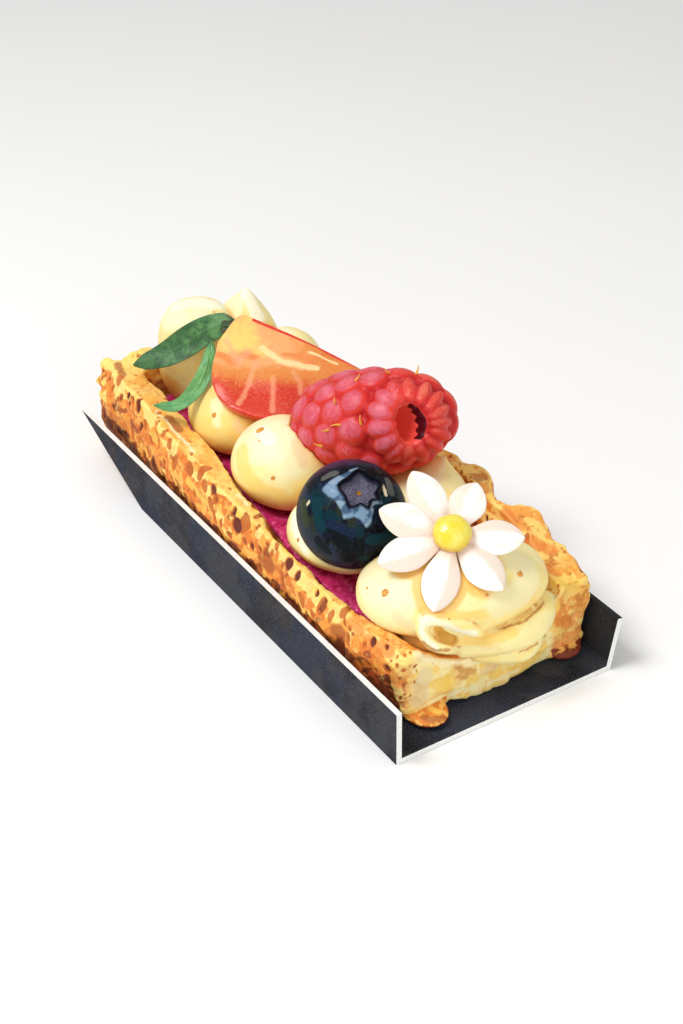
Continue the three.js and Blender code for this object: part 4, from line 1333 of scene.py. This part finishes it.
        # Long ones that radiate from the hollow, narrower and closer together on its right
        count = RASPBERRY["round_hollow"]
        brim = body.ray_cast(turned @ Vector((0, 0, 12)), -hollow_axis)[0]
        for k in range(count):
            even = 2 * math.pi * (k + 0.4) / count
            a = even - 0.33 * math.sin(even)
            reach = 4.9 + 1.0 * abs(math.sin(a))
            for out in np.arange(0.2, 6, 0.2):
                across = (HOLLOW["mouth"] + out) * math.cos(a)
                upwards = (HOLLOW["mouth"] * HOLLOW["tall"] + out) * math.sin(a)
                hit = body.ray_cast(turned @ Vector((across, upwards, 12)), -hollow_axis)
                if hit[0] is None:
                    hit = body.find_nearest(turned @ Vector((across, upwards, -3)))
                if (hit[0] - brim).length > reach:
                    break
            spot, normal = hit[:2]
            wide = 1.52 - 0.42 * math.cos(a)
            middles.append((spot, normal, (spot - brim).normalized(), RASPBERRY["radiating"], wide))
        # The rest spread evenly over what is left
        ring = [body.find_nearest(entry[0] + entry[2] * 1.5)[0] for entry in middles]
        spacing, count = settings().drupelet / MM, settings().drupelet_count
        golden = math.pi * (3 - math.sqrt(5))
        free = []
        for k in range(count):
            t = math.acos(1 - (2 * k + 1) / count) / math.pi
            spot = Vector(raspberry_point(np.array(k * golden), np.array(t)).tolist())
            clear = min((spot - other).length for other in ring) > 0.75 * spacing
            if clear and (spot - brim).length > RASPBERRY["clear_of_brim"]:
                free.append(spot)
        for _ in range(RASPBERRY["settling_rounds"]):
            for index, spot in enumerate(free):
                push = Vector()
                for other in ring + free[:index] + free[index + 1 :]:
                    apart = spot - other
                    if apart.length < 1.3 * spacing:
                        push += apart.normalized() * (1 - apart.length / (1.3 * spacing))
                free[index] = body.find_nearest(spot + push * 0.7)[0]
        for index, spot in enumerate(free):
            near = sorted((spot - other).length for other in ring + free[:index] + free[index + 1 :])
            wide = min(max(0.62 * sum(near[:4]) / 4, 2.2), 3.1)
            normal = body.find_nearest(spot)[1]
            middles.append((spot, normal, Vector((0.15, 0.1, 1)), wide * 1.06, wide * 0.98))
        return middles

    def hairs(self):
        """Short golden hairs that stand on the raspberry where the view shows them."""
        draw = random.Random(9)
        meshes = []
        for px, py in HAIRS:
            spot, normal = seen_at(px, py, [BUILT["raspberry"]])
            form = bmesh.new()
            bmesh.ops.create_cone(form, cap_ends=True, segments=10, radius1=0.26, radius2=0.04, depth=2)
            upright = [edge for edge in form.edges if abs(edge.verts[0].co.z - edge.verts[1].co.z) > 1]
            bmesh.ops.subdivide_edges(form, edges=upright, cuts=4)
            mesh = mesh_from(form, "hair")
            stalk = points_of(mesh) * MM
            stalk[:, 2] += 0.8
            stalk[:, 0] += 0.16 * stalk[:, 2] ** 2 * draw.choice((-1, 1))
            lean = normal + Vector([draw.uniform(-0.5, 0.5) for _ in range(3)])
            move_points(mesh, apply(pointing(lean, spot), stalk))
            meshes.append(mesh)
        dress("raspberry_hairs", joined("hairs", meshes), hair_finish(), "raspberry")


class PASTRY_OT_blueberry(bpy.types.Operator):
    """Shapes the blueberry with its crown"""

    bl_idname = "pastry.blueberry"
    bl_label = "Blueberry"

    def execute(self, context):
        radius, crown = BLUEBERRY["radius"], BLUEBERRY["crown"]
        high = radius * BLUEBERRY["flat"]
        painted = {}

        def shape(a, t):
            angle = math.pi * t
            x, y = radius * np.sin(angle) * np.cos(a), radius * np.sin(angle) * np.sin(a)
            z = -high * np.cos(angle)
            out = np.hypot(x, y)
            # The crown's points stand wider apart on one side
            turns = np.linspace(-math.pi, math.pi, 361)
            past = (a - BLUEBERRY["wide_points"] + math.pi) % (2 * math.pi) - math.pi
            turn = np.interp(past, turns + 0.35 * np.sin(turns), turns)
            star = crown * (0.76 + 0.23 * (1 - np.abs(np.cos(3 * turn))) ** 0.8)
            star = star * (1 + 0.05 * np.sin(2 * a + 1))
            top = (z > 0).astype(float)
            dish = (1 - ease(out, star * 0.8, star * 0.93)) * top
            lip = np.exp(-(((out - star * 1.02) / 0.3) ** 2)) * top
            floor = high * 0.905 - 0.5 + 0.22 * lumps(np.stack([x, y, z * 0], axis=1), 1.3)
            z = z * (1 - dish) + floor * dish + 0.6 * lip
            dimple = np.exp(-((out / 0.42) ** 2)) * top
            z = z - 0.3 * dimple
            ragged = lumps(np.stack([x, y, z], axis=1), 0.9)
            viewed = (np.degrees(a) + BLUEBERRY["view_turn"]) % 360
            reach = star * (np.interp(viewed, *zip(*BLOOM)) + 0.07 * ragged)
            painted["dish"] = dish
            painted["outline"] = ease(-np.abs(out - star * 0.98), -0.5, -0.25) * top
            painted["scar"] = dimple
            painted["dust"] = (1 - ease(out, reach * 0.94, reach * 1.03)) * (1 - dish) * top
            lower_left = ease(np.cos(np.radians(viewed - 200)), -0.3, 0.6)
            painted["haze"] = ease(out, radius * 0.8, radius) * lower_left
            return np.stack([x, y, z], axis=1)

        mesh = wrapped("blueberry", 240, 170, shape)
        place = pointing(BLUEBERRY["facing"], BLUEBERRY["at"])
        points = apply(place, points_of(mesh))
        move_points(mesh, points)
        towards = (points - np.array(BLUEBERRY["at"])) / radius
        blush = ease(towards @ np.array([0.2, 0.75, 0.63]), 0.62, 0.95)
        painted["blush"] = blush * (1 - painted["dish"])
        paint(mesh, **painted)
        paint_strokes(mesh, BLUEBERRY_STROKES)
        BUILT["blueberry"] = tree_of(mesh)
        dress("blueberry_fruit", mesh, blueberry_finish(), "blueberry", "blueberry")
        return {"FINISHED"}


class PASTRY_OT_strawberry(bpy.types.Operator):
    """Halves the strawberry"""

    bl_idname = "pastry.strawberry"
    bl_label = "Strawberry half"

    def execute(self, context):
        start, tip = Vector(STRAWBERRY["leaf_end"]), Vector(STRAWBERRY["tip"])
        axis = (tip - start).normalized()
        across = Vector((0, 0, 1)).cross(axis).normalized()
        basis = Matrix((axis, across, axis.cross(across))).transposed().to_4x4()
        lean = Matrix.Rotation(math.radians(STRAWBERRY["lean"]), 4, "X")
        place = Matrix.Translation(start) @ basis @ lean
        length = (tip - start).length
        painted = {}

        def shape(a, t):
            even = t**1.1
            size = shoulder_of(even)
            edge = np.where(np.cos(a) > 0, upper_edge_of(even), STRAWBERRY["low"] * size) * np.cos(a)
            back = np.sin(a) < 0
            uneven = lumps(np.stack([even * length, edge, a * 0], axis=1), 4)
            crowned = (0.25 * (1 - np.cos(a) ** 8) + 0.25 * uneven) * np.minimum(1, np.sin(a) * 4)
            z = np.where(back, STRAWBERRY["depth"] * size * np.sin(a), crowned)
            painted["face"] = ease(np.sin(a), -0.04, 0.02)
            painted["along"] = even
            u = np.where(size > 0.01, np.cos(a), 0)
            top_rim = ease(u, 0.87, 0.93) * ease(even, 0.09, 0.14)
            painted["rim"] = np.maximum.reduce([top_rim, ease(-u, 0.965, 0.99), ease(even, 0.94, 1.0)])
            low = ease(-u * size, -0.1, 0.95)
            ripe = 0.02 + 0.95 * low + 0.5 * ease(even, 0.05, 0.75) + 0.1 * (u > 0) * u
            painted["ripe"] = np.clip(ripe, 0, 1.1)
            x = even * length - 0.5 * (1 - ease(even, 0, 0.1)) * (size < 0.2)
            return np.stack([x, edge, z], axis=1)

        mesh = outward(wrapped("strawberry", 160, 110, shape))
        paint(mesh, **painted)
        move_points(mesh, apply(place, points_of(mesh)))
        paint_strokes(mesh, STRAWBERRY_STROKES)
        middle = start.lerp(tip, 0.42) + place.to_3x3() @ Vector((0, -1.5, -1.6))
        drawn_back(mesh, middle, [BUILT["raspberry"]], GAP / 2)
        BUILT["strawberry"] = tree_of(mesh)
        dress("strawberry_cut", mesh, strawberry_finish(), "strawberry", "strawberry_half")
        return {"FINISHED"}


class PASTRY_OT_leaves(bpy.types.Operator):
    """Grows the strawberry's two leaves"""

    bl_idname = "pastry.leaves"
    bl_label = "Leaves"

    def execute(self, context):
        greens = colour(0.22, 0.43, 0.22), colour(0.35, 0.55, 0.31), colour(0.1, 0.25, 0.14)
        dark = leaf_finish("dark leaf", *greens, 0.55)
        greens = colour(0.38, 0.64, 0.38), colour(0.47, 0.72, 0.43), colour(0.24, 0.5, 0.27)
        light = leaf_finish("light leaf", *greens, 0.2)
        green = self.leaf(*DARK_LEAF)
        stub, ball = unit_ball("stub", 4)
        ball = ball * (1 + 0.3 * lumps(ball * 4, 1.7))[:, None]
        move_points(stub, ball * np.array(LEAF_STUB["size"]) + np.array(LEAF_STUB["at"]))
        paint(stub, joint=np.ones(len(ball)), tipward=np.zeros(len(ball)))
        mesh = joined("dark_leaf", [green, stub])
        drawn_back(mesh, LEAF_STUB["at"], [BUILT["strawberry"]], 0.1)
        BUILT["leaf_dark"] = tree_of(mesh)
        dress("leaf_dark_blade", mesh, dark, "leaf_dark", "leaf_dark")
        mesh = self.leaf(*LIGHT_LEAF)
        BUILT["leaf_light"] = tree_of(mesh)
        dress("leaf_light_blade", mesh, light, "leaf_light", "leaf_light")
        return {"FINISHED"}

    def leaf(self, width, broad, path):
        """A blade along a path, with its veins in relief."""
        painted = {}

        def shape(a, t):
            at, way = along_path(path, t)
            side = crossed(np.broadcast_to(np.array(LEAF_FACING), way.shape), way)
            up = crossed(way, side)
            v = np.cos(a)
            foot = broad * (1 - ease(t, 0, 0.4))
            half = width / 2 * (0.16 + foot + (0.84 - foot) * np.sin(math.pi * (0.1 + 0.88 * t)) ** 0.8)
            half = half * np.minimum(1, 3.2 * np.sqrt(np.maximum(t * (1 - t), 0)))
            wave = 0.22 * half * v * v + 0.25 * np.sin(9 * t + 2 * v)
            rib = np.exp(-((v / 0.1) ** 2))
            side_veins = np.maximum(np.cos(2 * math.pi * (t * 9 - np.abs(v) * 1.1)), 0) ** 8
            side_veins = side_veins * (1 - np.abs(v) ** 3)
            painted["vein"] = np.clip(rib + 0.6 * side_veins, 0, 1)
            painted["margin"] = np.abs(v) ** 10
            painted["tipward"] = t
            painted["joint"] = 1 - ease(t + 0.05 * np.sin(9 * v), 0.01, 0.08)
            thick = 0.35 * np.sign(np.sin(a)) * np.abs(np.sin(a)) ** 0.5
            fat = thick * np.minimum(1, 4 * np.sqrt(np.maximum(t * (1 - t), 0)))
            lift = wave + fat + 0.1 * rib * (np.sin(a) < 0)
            return at + side * (half * v)[:, None] + up * lift[:, None]

        mesh = outward(wrapped("leaf", 56, 120, shape))
        paint(mesh, **painted)
        return mesh


class PASTRY_OT_crust(bpy.types.Operator):
    """Bakes the crust: its pores, flakes and browned places, and its painted highlights and shade"""

    bl_idname = "pastry.crust"
    bl_label = "Crust"

    def execute(self, context):
        mesh = skinned(cad_copy("pastry_crust"), settings().crust_grain / MM, 8)
        mesh = self.plain_where_hidden(mesh)
        points, normals = points_of(mesh), normals_of(mesh)
        side, flat_top = ease(np.abs(normals[:, 0]), 0.35, 0.8), ease(normals[:, 2], 0.3, 0.8)
        slant = normals[:, 0] * normals[:, 2]
        # Where the rims' tops meet their sides, for a painted highlight
        corner = ease(-slant, 0.2, 0.45) + 0.6 * ease(slant, 0.2, 0.45)
        seen = ease(points[:, 2], 2, 4) * (1 - ease(-points[:, 2], -11.6, -11.2) * (normals[:, 2] > 0.8))
        cut_face = ease(-normals[:, 1], 0.45, 0.8) * (points[:, 1] < CUT_END + 2.5)
        far = ease(points[:, 1], 42, 48) * ease(points[:, 2], 10, 13)
        rough = 0.26 * lumps(points, 3.0) + 0.14 * lumps(points, 1.3) + 0.08 * lumps(points, 0.7)
        foot = (points[:, 2] < 4.4) * (points[:, 1] < CUT_END - 0.5)
        rough += (0.7 * lumps(points, 1.5) + 0.35 * lumps(points, 0.8)) * foot
        scallops = 1.3 * np.abs(lumps(points, 1.9)) + 0.6 * lumps(points, 3.2)
        notches = 1.1 * (np.sqrt(np.abs(lumps(points, 2.4))) - 0.8) * ease(points[:, 0], 14.5, 16.5)
        notches = notches * ease(-points[:, 1], 36, 41) * ease(points[:, 2], 3, 5)
        flakes = 0.3 * ease(lumps(points * np.array([1, 1, 2.2]), 3.6), -0.1, 0.15) * cut_face
        points = points + normals * ((rough + far * scallops + notches + flakes) * seen)[:, None]
        self.tear_edge(points)
        # The left corner of the cut end is rounded
        turned_in = np.clip((-14.7 - points[:, 0]) / 2.2, 0, 1) * (points[:, 2] > 2)
        at_end = 1 - ease(points[:, 1], CUT_END + 0.5, CUT_END + 3)
        points[:, 1] += 1.5 * (1 - np.sqrt(1 - turned_in**2)) * at_end
        move_points(mesh, points)
        normals = normals_of(mesh)
        pores, deep = self.pores(points, normals, cut_face)
        points = points - normals * (np.clip(pores, 0, 1) * seen * PORE_DEPTH)[:, None]
        move_points(mesh, points)
        x, y, z = points.T
        pillars = 1 - ease(x, -15.2, -13.2) * (1 - ease(x, 12.6, 14.4))
        feet = ease(-z, -3.6, -2.9) * (y < CUT_END + 0.2) * (np.abs(x - 3) > 10.4)
        near = 0.35 + 0.65 * ease(-y, 16, 34)
        low_side = ease(-z, -14, -8) * near * np.maximum(side, ease(-x, 14.6, 15.6))
        near_rim = 0.5 * ease(-y, 18, 34) * flat_top * (1 - cut_face)
        # Among these: painted highlights on the ridges and corners, and painted shade low on the sides near the
        # tray wall and in the pores
        paint(
            mesh,
            pore=pores,
            deep=deep,
            ridge=ridges(mesh, 16),
            side=np.maximum(side * (1 - cut_face), cut_face * pillars * (x > 0)),
            corner=np.clip(corner, 0, 1) * ease(lumps(points, 2.6), -0.5, 0.2),
            crumb=cut_face * (1 - 0.85 * pillars),
            toasted=feet,
            singed=feet * np.maximum(ease(-z, -2.5, -1.8), 0.75 * (x > 10)),
            scorch=ease(-z, -12.6, -9.4) * (normals[:, 0] < 0.3) * side * (1 - cut_face),
            glow=np.maximum(low_side, near_rim) * (x < 0),
            right=ease(x, 9, 12),
            pale=far * 0.85 * flat_top,
        )
        paint_strokes(mesh, CRUST_STROKES)
        BUILT["crust"] = tree_of(mesh)
        dress("crust", mesh, crust_finish(), "pastry", "pastry_crust")
        return {"FINISHED"}

    def plain_where_hidden(self, mesh):
        """Large plain faces on the underside and under the jam, where no detail shows."""
        points, normals = points_of(mesh), normals_of(mesh)
        x, y, z = points.T
        under = (z < 1.6) & (normals[:, 2] < -0.98) & (np.abs(x - 2) < 15) & (y > CUT_END + 8) & (y < 46)
        floor = (np.abs(z - 11) < 0.3) & (normals[:, 2] > 0.98) & (y > CUT_END + 10)
        for hidden in (under, floor):
            where = np.flatnonzero(hidden)
            cells = np.floor(points[where, :2] / PLAIN_FACE).astype(int)
            _, cell = np.unique(cells[:, 0] * 1000 + cells[:, 1], return_inverse=True)
            count = np.bincount(cell)
            for axis in range(3):
                points[where, axis] = (np.bincount(cell, points[where, axis]) / count)[cell]
        move_points(mesh, points)
        return mesh_from(merged(mesh), "crust")

    def tear_edge(self, points):
        """Tears the underside's edge at the cut end between the browned feet: it hangs and bulges."""
        x, y, z = points.T
        across = np.stack([x, x * 0, x * 0], axis=1)
        tear = np.interp(x, *zip(*TEAR))
        between = (tear > 0) * ease(x, -7, -5.4) * (1 - ease(x, 5.5, 11))
        at_end = 1 - ease(y, CUT_END, CUT_END + 6)
        points[:, 2] -= 0.55 * between * at_end * (1 - ease(z, 1.4, 3.6))
        lift = tear + (0.24 * lumps(across, 1.7) + 0.3 * lumps(across + 9, 0.7)) * (tear > 0)
        points[:, 2] = np.maximum(points[:, 2], 1.05 + lift * at_end)
        bulge = 0.85 + 0.5 * lumps(across + 4, 0.9)
        points[:, 1] -= bulge * between * (1 - ease(z, 1.2, 4.5)) * (1 - ease(y, CUT_END, CUT_END + 1.6))

    def pores(self, points, normals, cut_face):
        """Oval pores: how far into one each point lies, and how dark it is there, as the pore's own tone and
        painted shade.
        """
        draw = random.Random(21)
        finder = KDTree(len(points))
        for index, point in enumerate(points):
            finder.insert(point, index)
        finder.balance()
        pores, deep = np.zeros(len(points)), np.zeros(len(points))
        ragged = 0.24 * lumps(points, 0.8)
        x, y, z = points.T
        places = {
            "side": (np.abs(normals[:, 0]) > 0.5) & (z > 7) & ((x < -14) | (x > 12)),
            "top": (normals[:, 2] > 0.6) & (z > 13),
            "end": (cut_face > 0.6) & (z > 3),
            "pillar": (x < -13.4) & (y < CUT_END + 2.5) & (z > 4),
        }
        taken = []
        for place, there in places.items():
            count, least, most, narrow, strength = PORES[place]
            where = np.flatnonzero(there)
            for _ in range(count or settings().pore_count):
                index = where[draw.randrange(len(where))]
                at, normal = Vector(points[index]), Vector(normals[index])
                if any((at - other).length < apart for other, apart in taken):
                    continue
                lean = math.radians(draw.gauss(66, 24))
                along = Vector((0, -math.cos(lean), -math.sin(lean)))
                if place == "top":
                    along = Vector((draw.uniform(-1, 1), 1, 0))
                long = least + (most - least) * draw.random() ** 1.6
                if place == "side":
                    if at.x > 12 and draw.random() < 0.6:
                        continue
                    long *= 0.5 if at.x > 12 else 0.6 if at.y < -34 else 1
                taken.append((at, long * 1.1 + 0.5))
                wide = max(long * narrow * draw.uniform(0.7, 1.15), 0.26)
                depth = strength * draw.uniform(0.45, 1)
                tone = draw.random()
                along = (along - normal * along.dot(normal)).normalized()
                sideways = normal.cross(along)
                for _, other, _ in finder.find_range(at, long + 0.6):
                    if normals[other] @ np.array(normal) < 0.2:
                        continue
                    step = Vector(points[other]) - at
                    r = math.hypot(step.dot(along) / long, step.dot(sideways) / wide) + ragged[other]
                    inside = 1 - min(max((r - 0.7) / 0.45, 0), 1)
                    inside = inside * inside * (3 - 2 * inside)
                    if inside * depth > pores[other]:
                        pores[other] = inside * depth
                        deep[other] = inside * tone * depth
        return pores, deep


class PASTRY_OT_jam(bpy.types.Operator):
    """Spreads the jam"""

    bl_idname = "pastry.jam"
    bl_label = "Jam"

    def execute(self, context):
        mesh = skinned(cad_copy("jam_layer"), 0.5, 3)
        points, normals = points_of(mesh), normals_of(mesh)
        waves = 0.28 * lumps(points, 2.4) + 0.12 * lumps(points, 1.1)
        move_points(mesh, points + normals * waves[:, None] * 0.8)
        BUILT["jam"] = tree_of(mesh)
        dress("jam", mesh, jam_finish(), "jam", "jam_layer")
        return {"FINISHED"}


class PASTRY_OT_cream(bpy.types.Operator):
    """Pipes the dollops and the swirl, clear of the fruit and the crust"""

    bl_idname = "pastry.cream"
    bl_label = "Cream"

    def execute(self, context):
        finish = cream_finish()
        firm = ("raspberry", "blueberry", "strawberry", "leaf_dark", "leaf_light", "crust")
        solids = [BUILT[name] for name in firm]
        meshes = {}
        for name, form in DOLLOPS.items():
            mesh = mound(name, **form)
            self.part(name, mesh)
            meshes[name] = drawn_back(mesh, (*form["at"], ON_JAM + 2.2), solids, GAP / 2)
        nearest = [tree_of(meshes[name]) for name in ("cream_left_4", "cream_right_5")]
        swirl = self.swirl([*solids, BUILT["petals"], *nearest])
        meshes["cream_end_swirl"] = swirl
        beside_cream = [piece.data for piece in bpy.data.objects if piece.name in BESIDE_CREAM]
        near = tree_of(*beside_cream, *meshes.values())
        for name, mesh in meshes.items():
            points = points_of(mesh)
            # Painted highlight: the tops are paler where they face the key light
            lit = ease(normals_of(mesh) @ np.array([-0.45, 0.1, 0.88]), 0.5, 1.0)
            crown = lit * ease(points[:, 2], 15, 20)
            # Painted shade in the nooks and along the creases
            paint(mesh, nook=nooks(mesh, near), crease=-ridges(mesh, 6), crown=crown)
            paint_strokes(mesh, CREAM_STROKES.get(name, ()))
            if mesh is swirl:
                # Painted shadow round the petals' edges
                away = np.array([BUILT["petals"].find_nearest(Vector(point))[3] for point in points])
                halo = 1 - ease(away + 0.2 * lumps(points, 1.2), 1.2, 1.75)
                # The curl's hollow is dented and takes painted shade
                paint(mesh, curl=self.curl(points), halo=halo)
            dress(name.replace("cream", "dollop"), mesh, finish, "cream", name)
        BUILT["cream"] = [tree_of(mesh) for mesh in meshes.values()]
        return {"FINISHED"}

    def part(self, name, mesh):
        """Draws a dollop back to the planes between it and its neighbours."""
        form = DOLLOPS[name]
        points = points_of(mesh)
        here = np.array(form["at"])
        for other, theirs in DOLLOPS.items():
            towards = np.array(theirs["at"]) - here
            apart = np.linalg.norm(towards)
            if other == name or apart == 0:
                continue
            towards = towards / apart
            mine = math.hypot(form["reach"][0] * towards[0], form["reach"][1] * towards[1])
            its = math.hypot(theirs["reach"][0] * towards[0], theirs["reach"][1] * towards[1])
            limit = (apart + mine - its) / 2 - GAP / 2
            if apart > mine + its + GAP:
                continue
            beyond = (points[:, :2] - here) @ towards - limit
            points[:, :2] -= np.maximum(beyond, 0)[:, None] * towards
        move_points(mesh, points)

    def swirl(self, trees):
        """The large swirl at the cut end, with the hollow of its curled tail."""
        shells = [mound(name, **form) for name, form in SWIRL_MOUNDS.items()]
        shells += [rope(*entry) for entry in SWIRL_ROPES]
        mesh = skinned(joined("swirl", shells), settings().cream_grain / MM, 4)
        points, normals = points_of(mesh), normals_of(mesh)
        move_points(mesh, points - normals * (0.7 * self.curl(points))[:, None])
        return kept_clear(mesh, trees, GAP / 2)

    def curl(self, points):
        """How near each point is to the hollow of the curled tail, from 0 to 1."""
        share, away = from_segment(points, *(np.array(place) for place in CURL_HOLLOW))
        return 1 - ease(away, 0.55 + 0.5 * share, 1.0 + 0.6 * share)


class PASTRY_OT_flower(bpy.types.Operator):
    """Models the sugar flower and its centre"""

    bl_idname = "pastry.flower"
    bl_label = "Sugar flower"

    def execute(self, context):
        heading = Matrix.Rotation(math.radians(FLOWER["heading"]), 4, "Z")
        tilt = Matrix.Rotation(math.radians(FLOWER["tilt"]), 4, "X")
        place = Matrix.Translation(FLOWER["at"]) @ heading @ tilt
        petals = [self.petal(*entry) for entry in PETALS]
        form = bmesh.new()
        bmesh.ops.create_uvsphere(form, u_segments=32, v_segments=16, radius=1)
        disc = mesh_from(form, "disc")
        move_points(disc, points_of(disc) * MM * np.array([FLOWER["disc"], FLOWER["disc"], 0.8]))
        # The disc takes the bases' painted shade
        paint(disc, base=np.ones(len(disc.vertices)), side=np.zeros(len(disc.vertices)))
        mesh = joined("petals", petals + [disc])
        move_points(mesh, apply(place, points_of(mesh)))
        BUILT["petals"] = tree_of(mesh)
        # Painted shade where the petals close each other in
        paint(mesh, slit=nooks(mesh, BUILT["petals"], 0.9, 10))
        dress("sugar_petals", mesh, petal_finish(), "sugar_petal", "flower_petals")

        def button(a, t):
            wide = FLOWER["button"] * (1 + 0.015 * np.cos(5 * a))
            ring = np.sin(math.pi * t)
            high = 1.5 - 2 * np.cos(math.pi * t)
            return np.stack([wide * ring * np.cos(a), wide * ring * np.sin(a), high], axis=1)

        mesh = wrapped("button", 96, 64, button)
        points = points_of(mesh)
        paint(mesh, skirt=1 - ease(points[:, 2], 1.6, 2.7))
        points = points + (0.04 * lumps(points, 0.9))[:, None] * normals_of(mesh)
        move_points(mesh, apply(place, points))
        dress("sugar_centre_button", mesh, button_finish(), "sugar_centre", "flower_centre")
        return {"FINISHED"}

    def petal(self, turn, length, lift):
        """A pointed petal with a ridge and a crease, turned to its place round the centre."""
        painted = {}

        def shape(a, t):
            even = np.sin(t * math.pi / 2)
            base = 0.36 + 0.64 * ease(even, 0, PETAL_WIDEST)
            blade = base * (1 - np.maximum(0, (even - PETAL_WIDEST) / (1 - PETAL_WIDEST)) ** 2) ** 0.72
            blade = blade * np.minimum(1, t * 12)
            fat = PETAL_THICK / 2 * np.sqrt(np.maximum(0, 1 - even**4)) * np.minimum(1, t * 12)
            v = np.cos(a)
            crease = 0.16 * np.exp(-((v / 0.16) ** 2)) * (np.sin(a) > 0) * (1 - ease(even, 0.55, 0.85))
            # Painted shade: warmer near the petal's base and on one side of it
            painted["base"] = 1 - ease(even, 0.1, 0.5)
            painted["side"] = ease(v, -0.05, 0.5) * ease(even, 0.15, 0.35)
            # The upper side is a low roof with its ridge along the petal
            roof = 0.45 * np.sin(a) + 0.6 * (1 - np.sqrt(v * v + 0.04))
            z = fat * np.where(np.sin(a) > 0, roof, np.sin(a)) + lift * even**2 - crease
            return np.stack([1 + even * (length - 1), PETAL_WIDTH / 2 * blade * v, z], axis=1)

        mesh = outward(wrapped("petal", 48, 64, shape))
        paint(mesh, **painted)
        points = points_of(mesh)
        points[:, 2] += 0.05 * lumps(points + turn, 2.2)
        move_points(mesh, apply(Matrix.Rotation(math.radians(turn), 4, "Z"), points))
        return mesh


class PASTRY_OT_specks(bpy.types.Operator):
    """Scatters the browned specks over the cream"""

    bl_idname = "pastry.specks"
    bl_label = "Specks"

    def execute(self, context):
        meshes = []
        for px, py, size in SPECKS:
            spot, normal = seen_at(px, py, BUILT["cream"])
            mesh, ball = unit_ball("speck")
            uneven = 1 + 0.16 * lumps(ball * 3 + px, 1.5)
            ball = ball * uneven[:, None] * np.array([size, size * 0.85, size * 0.3])
            move_points(mesh, apply(pointing(normal, spot), ball))
            meshes.append(mesh)
        dress("browned_specks", joined("specks", meshes), speck_finish(), "pastry")
        return {"FINISHED"}


class PASTRY_OT_stage(bpy.types.Operator):
    """Sets the floor, the soft lights and the camera"""

    bl_idname = "pastry.stage"
    bl_label = "Stage"

    def execute(self, context):
        scene = context.scene
        scene.view_settings.view_transform = "Standard"
        form = bmesh.new()
        bmesh.ops.create_grid(form, x_segments=4, y_segments=4, size=3)
        mesh = mesh_from(form, "floor")
        mesh.materials.append(floor_finish().material)
        linked("floor", mesh)
        camera = bpy.data.cameras.new("camera")
        camera.lens, camera.sensor_width, camera.clip_start = LENS, SENSOR, 0.01
        scene.camera = linked("camera", camera)
        place, turn = camera_place()
        scene.camera.location, scene.camera.rotation_euler = place * MM, turn.to_euler()
        scene.world = bpy.data.worlds.new("studio")
        scene.world.use_nodes = True
        for socket, value in SKY.items():
            scene.world.node_tree.nodes["Background"].inputs[socket].default_value = value
        for name, entry in LIGHTS.items():
            light = bpy.data.lights.new(name, "AREA")
            light.energy, light.size = entry["power"], entry["size"]
            lamp = linked(name, light)
            lamp.location = entry["at"]
            way = Vector(TARGET) * MM - lamp.location
            lamp.rotation_euler = way.to_track_quat("-Z", "Y").to_euler()
        return {"FINISHED"}


class PASTRY_PT_panel(bpy.types.Panel):
    """The slice's sizes, colours and steps"""

    bl_label = "Pastry slice"
    bl_space_type = "VIEW_3D"
    bl_region_type = "UI"
    bl_category = "Pastry"

    def draw(self, context):
        for name in PastrySliceSettings.__annotations__:
            self.layout.prop(context.scene.pastry_slice, name)
        for step in STEPS:
            self.layout.operator(step.bl_idname)


STEPS = (
    PASTRY_OT_stage,
    PASTRY_OT_tray,
    PASTRY_OT_raspberry,
    PASTRY_OT_blueberry,
    PASTRY_OT_strawberry,
    PASTRY_OT_leaves,
    PASTRY_OT_crust,
    PASTRY_OT_jam,
    PASTRY_OT_flower,
    PASTRY_OT_cream,
    PASTRY_OT_specks,
)
CLASSES = (PastrySliceSettings, *STEPS, PASTRY_PT_panel)


def register():
    for made in CLASSES:
        bpy.utils.register_class(made)
    bpy.types.Scene.pastry_slice = PointerProperty(type=PastrySliceSettings)


def unregister():
    del bpy.types.Scene.pastry_slice
    for made in reversed(CLASSES):
        bpy.utils.unregister_class(made)


def main():
    register()
    for step in STEPS:
        group, name = step.bl_idname.split(".")
        getattr(getattr(bpy.ops, group), name)()


if __name__ == "__main__":
    main()
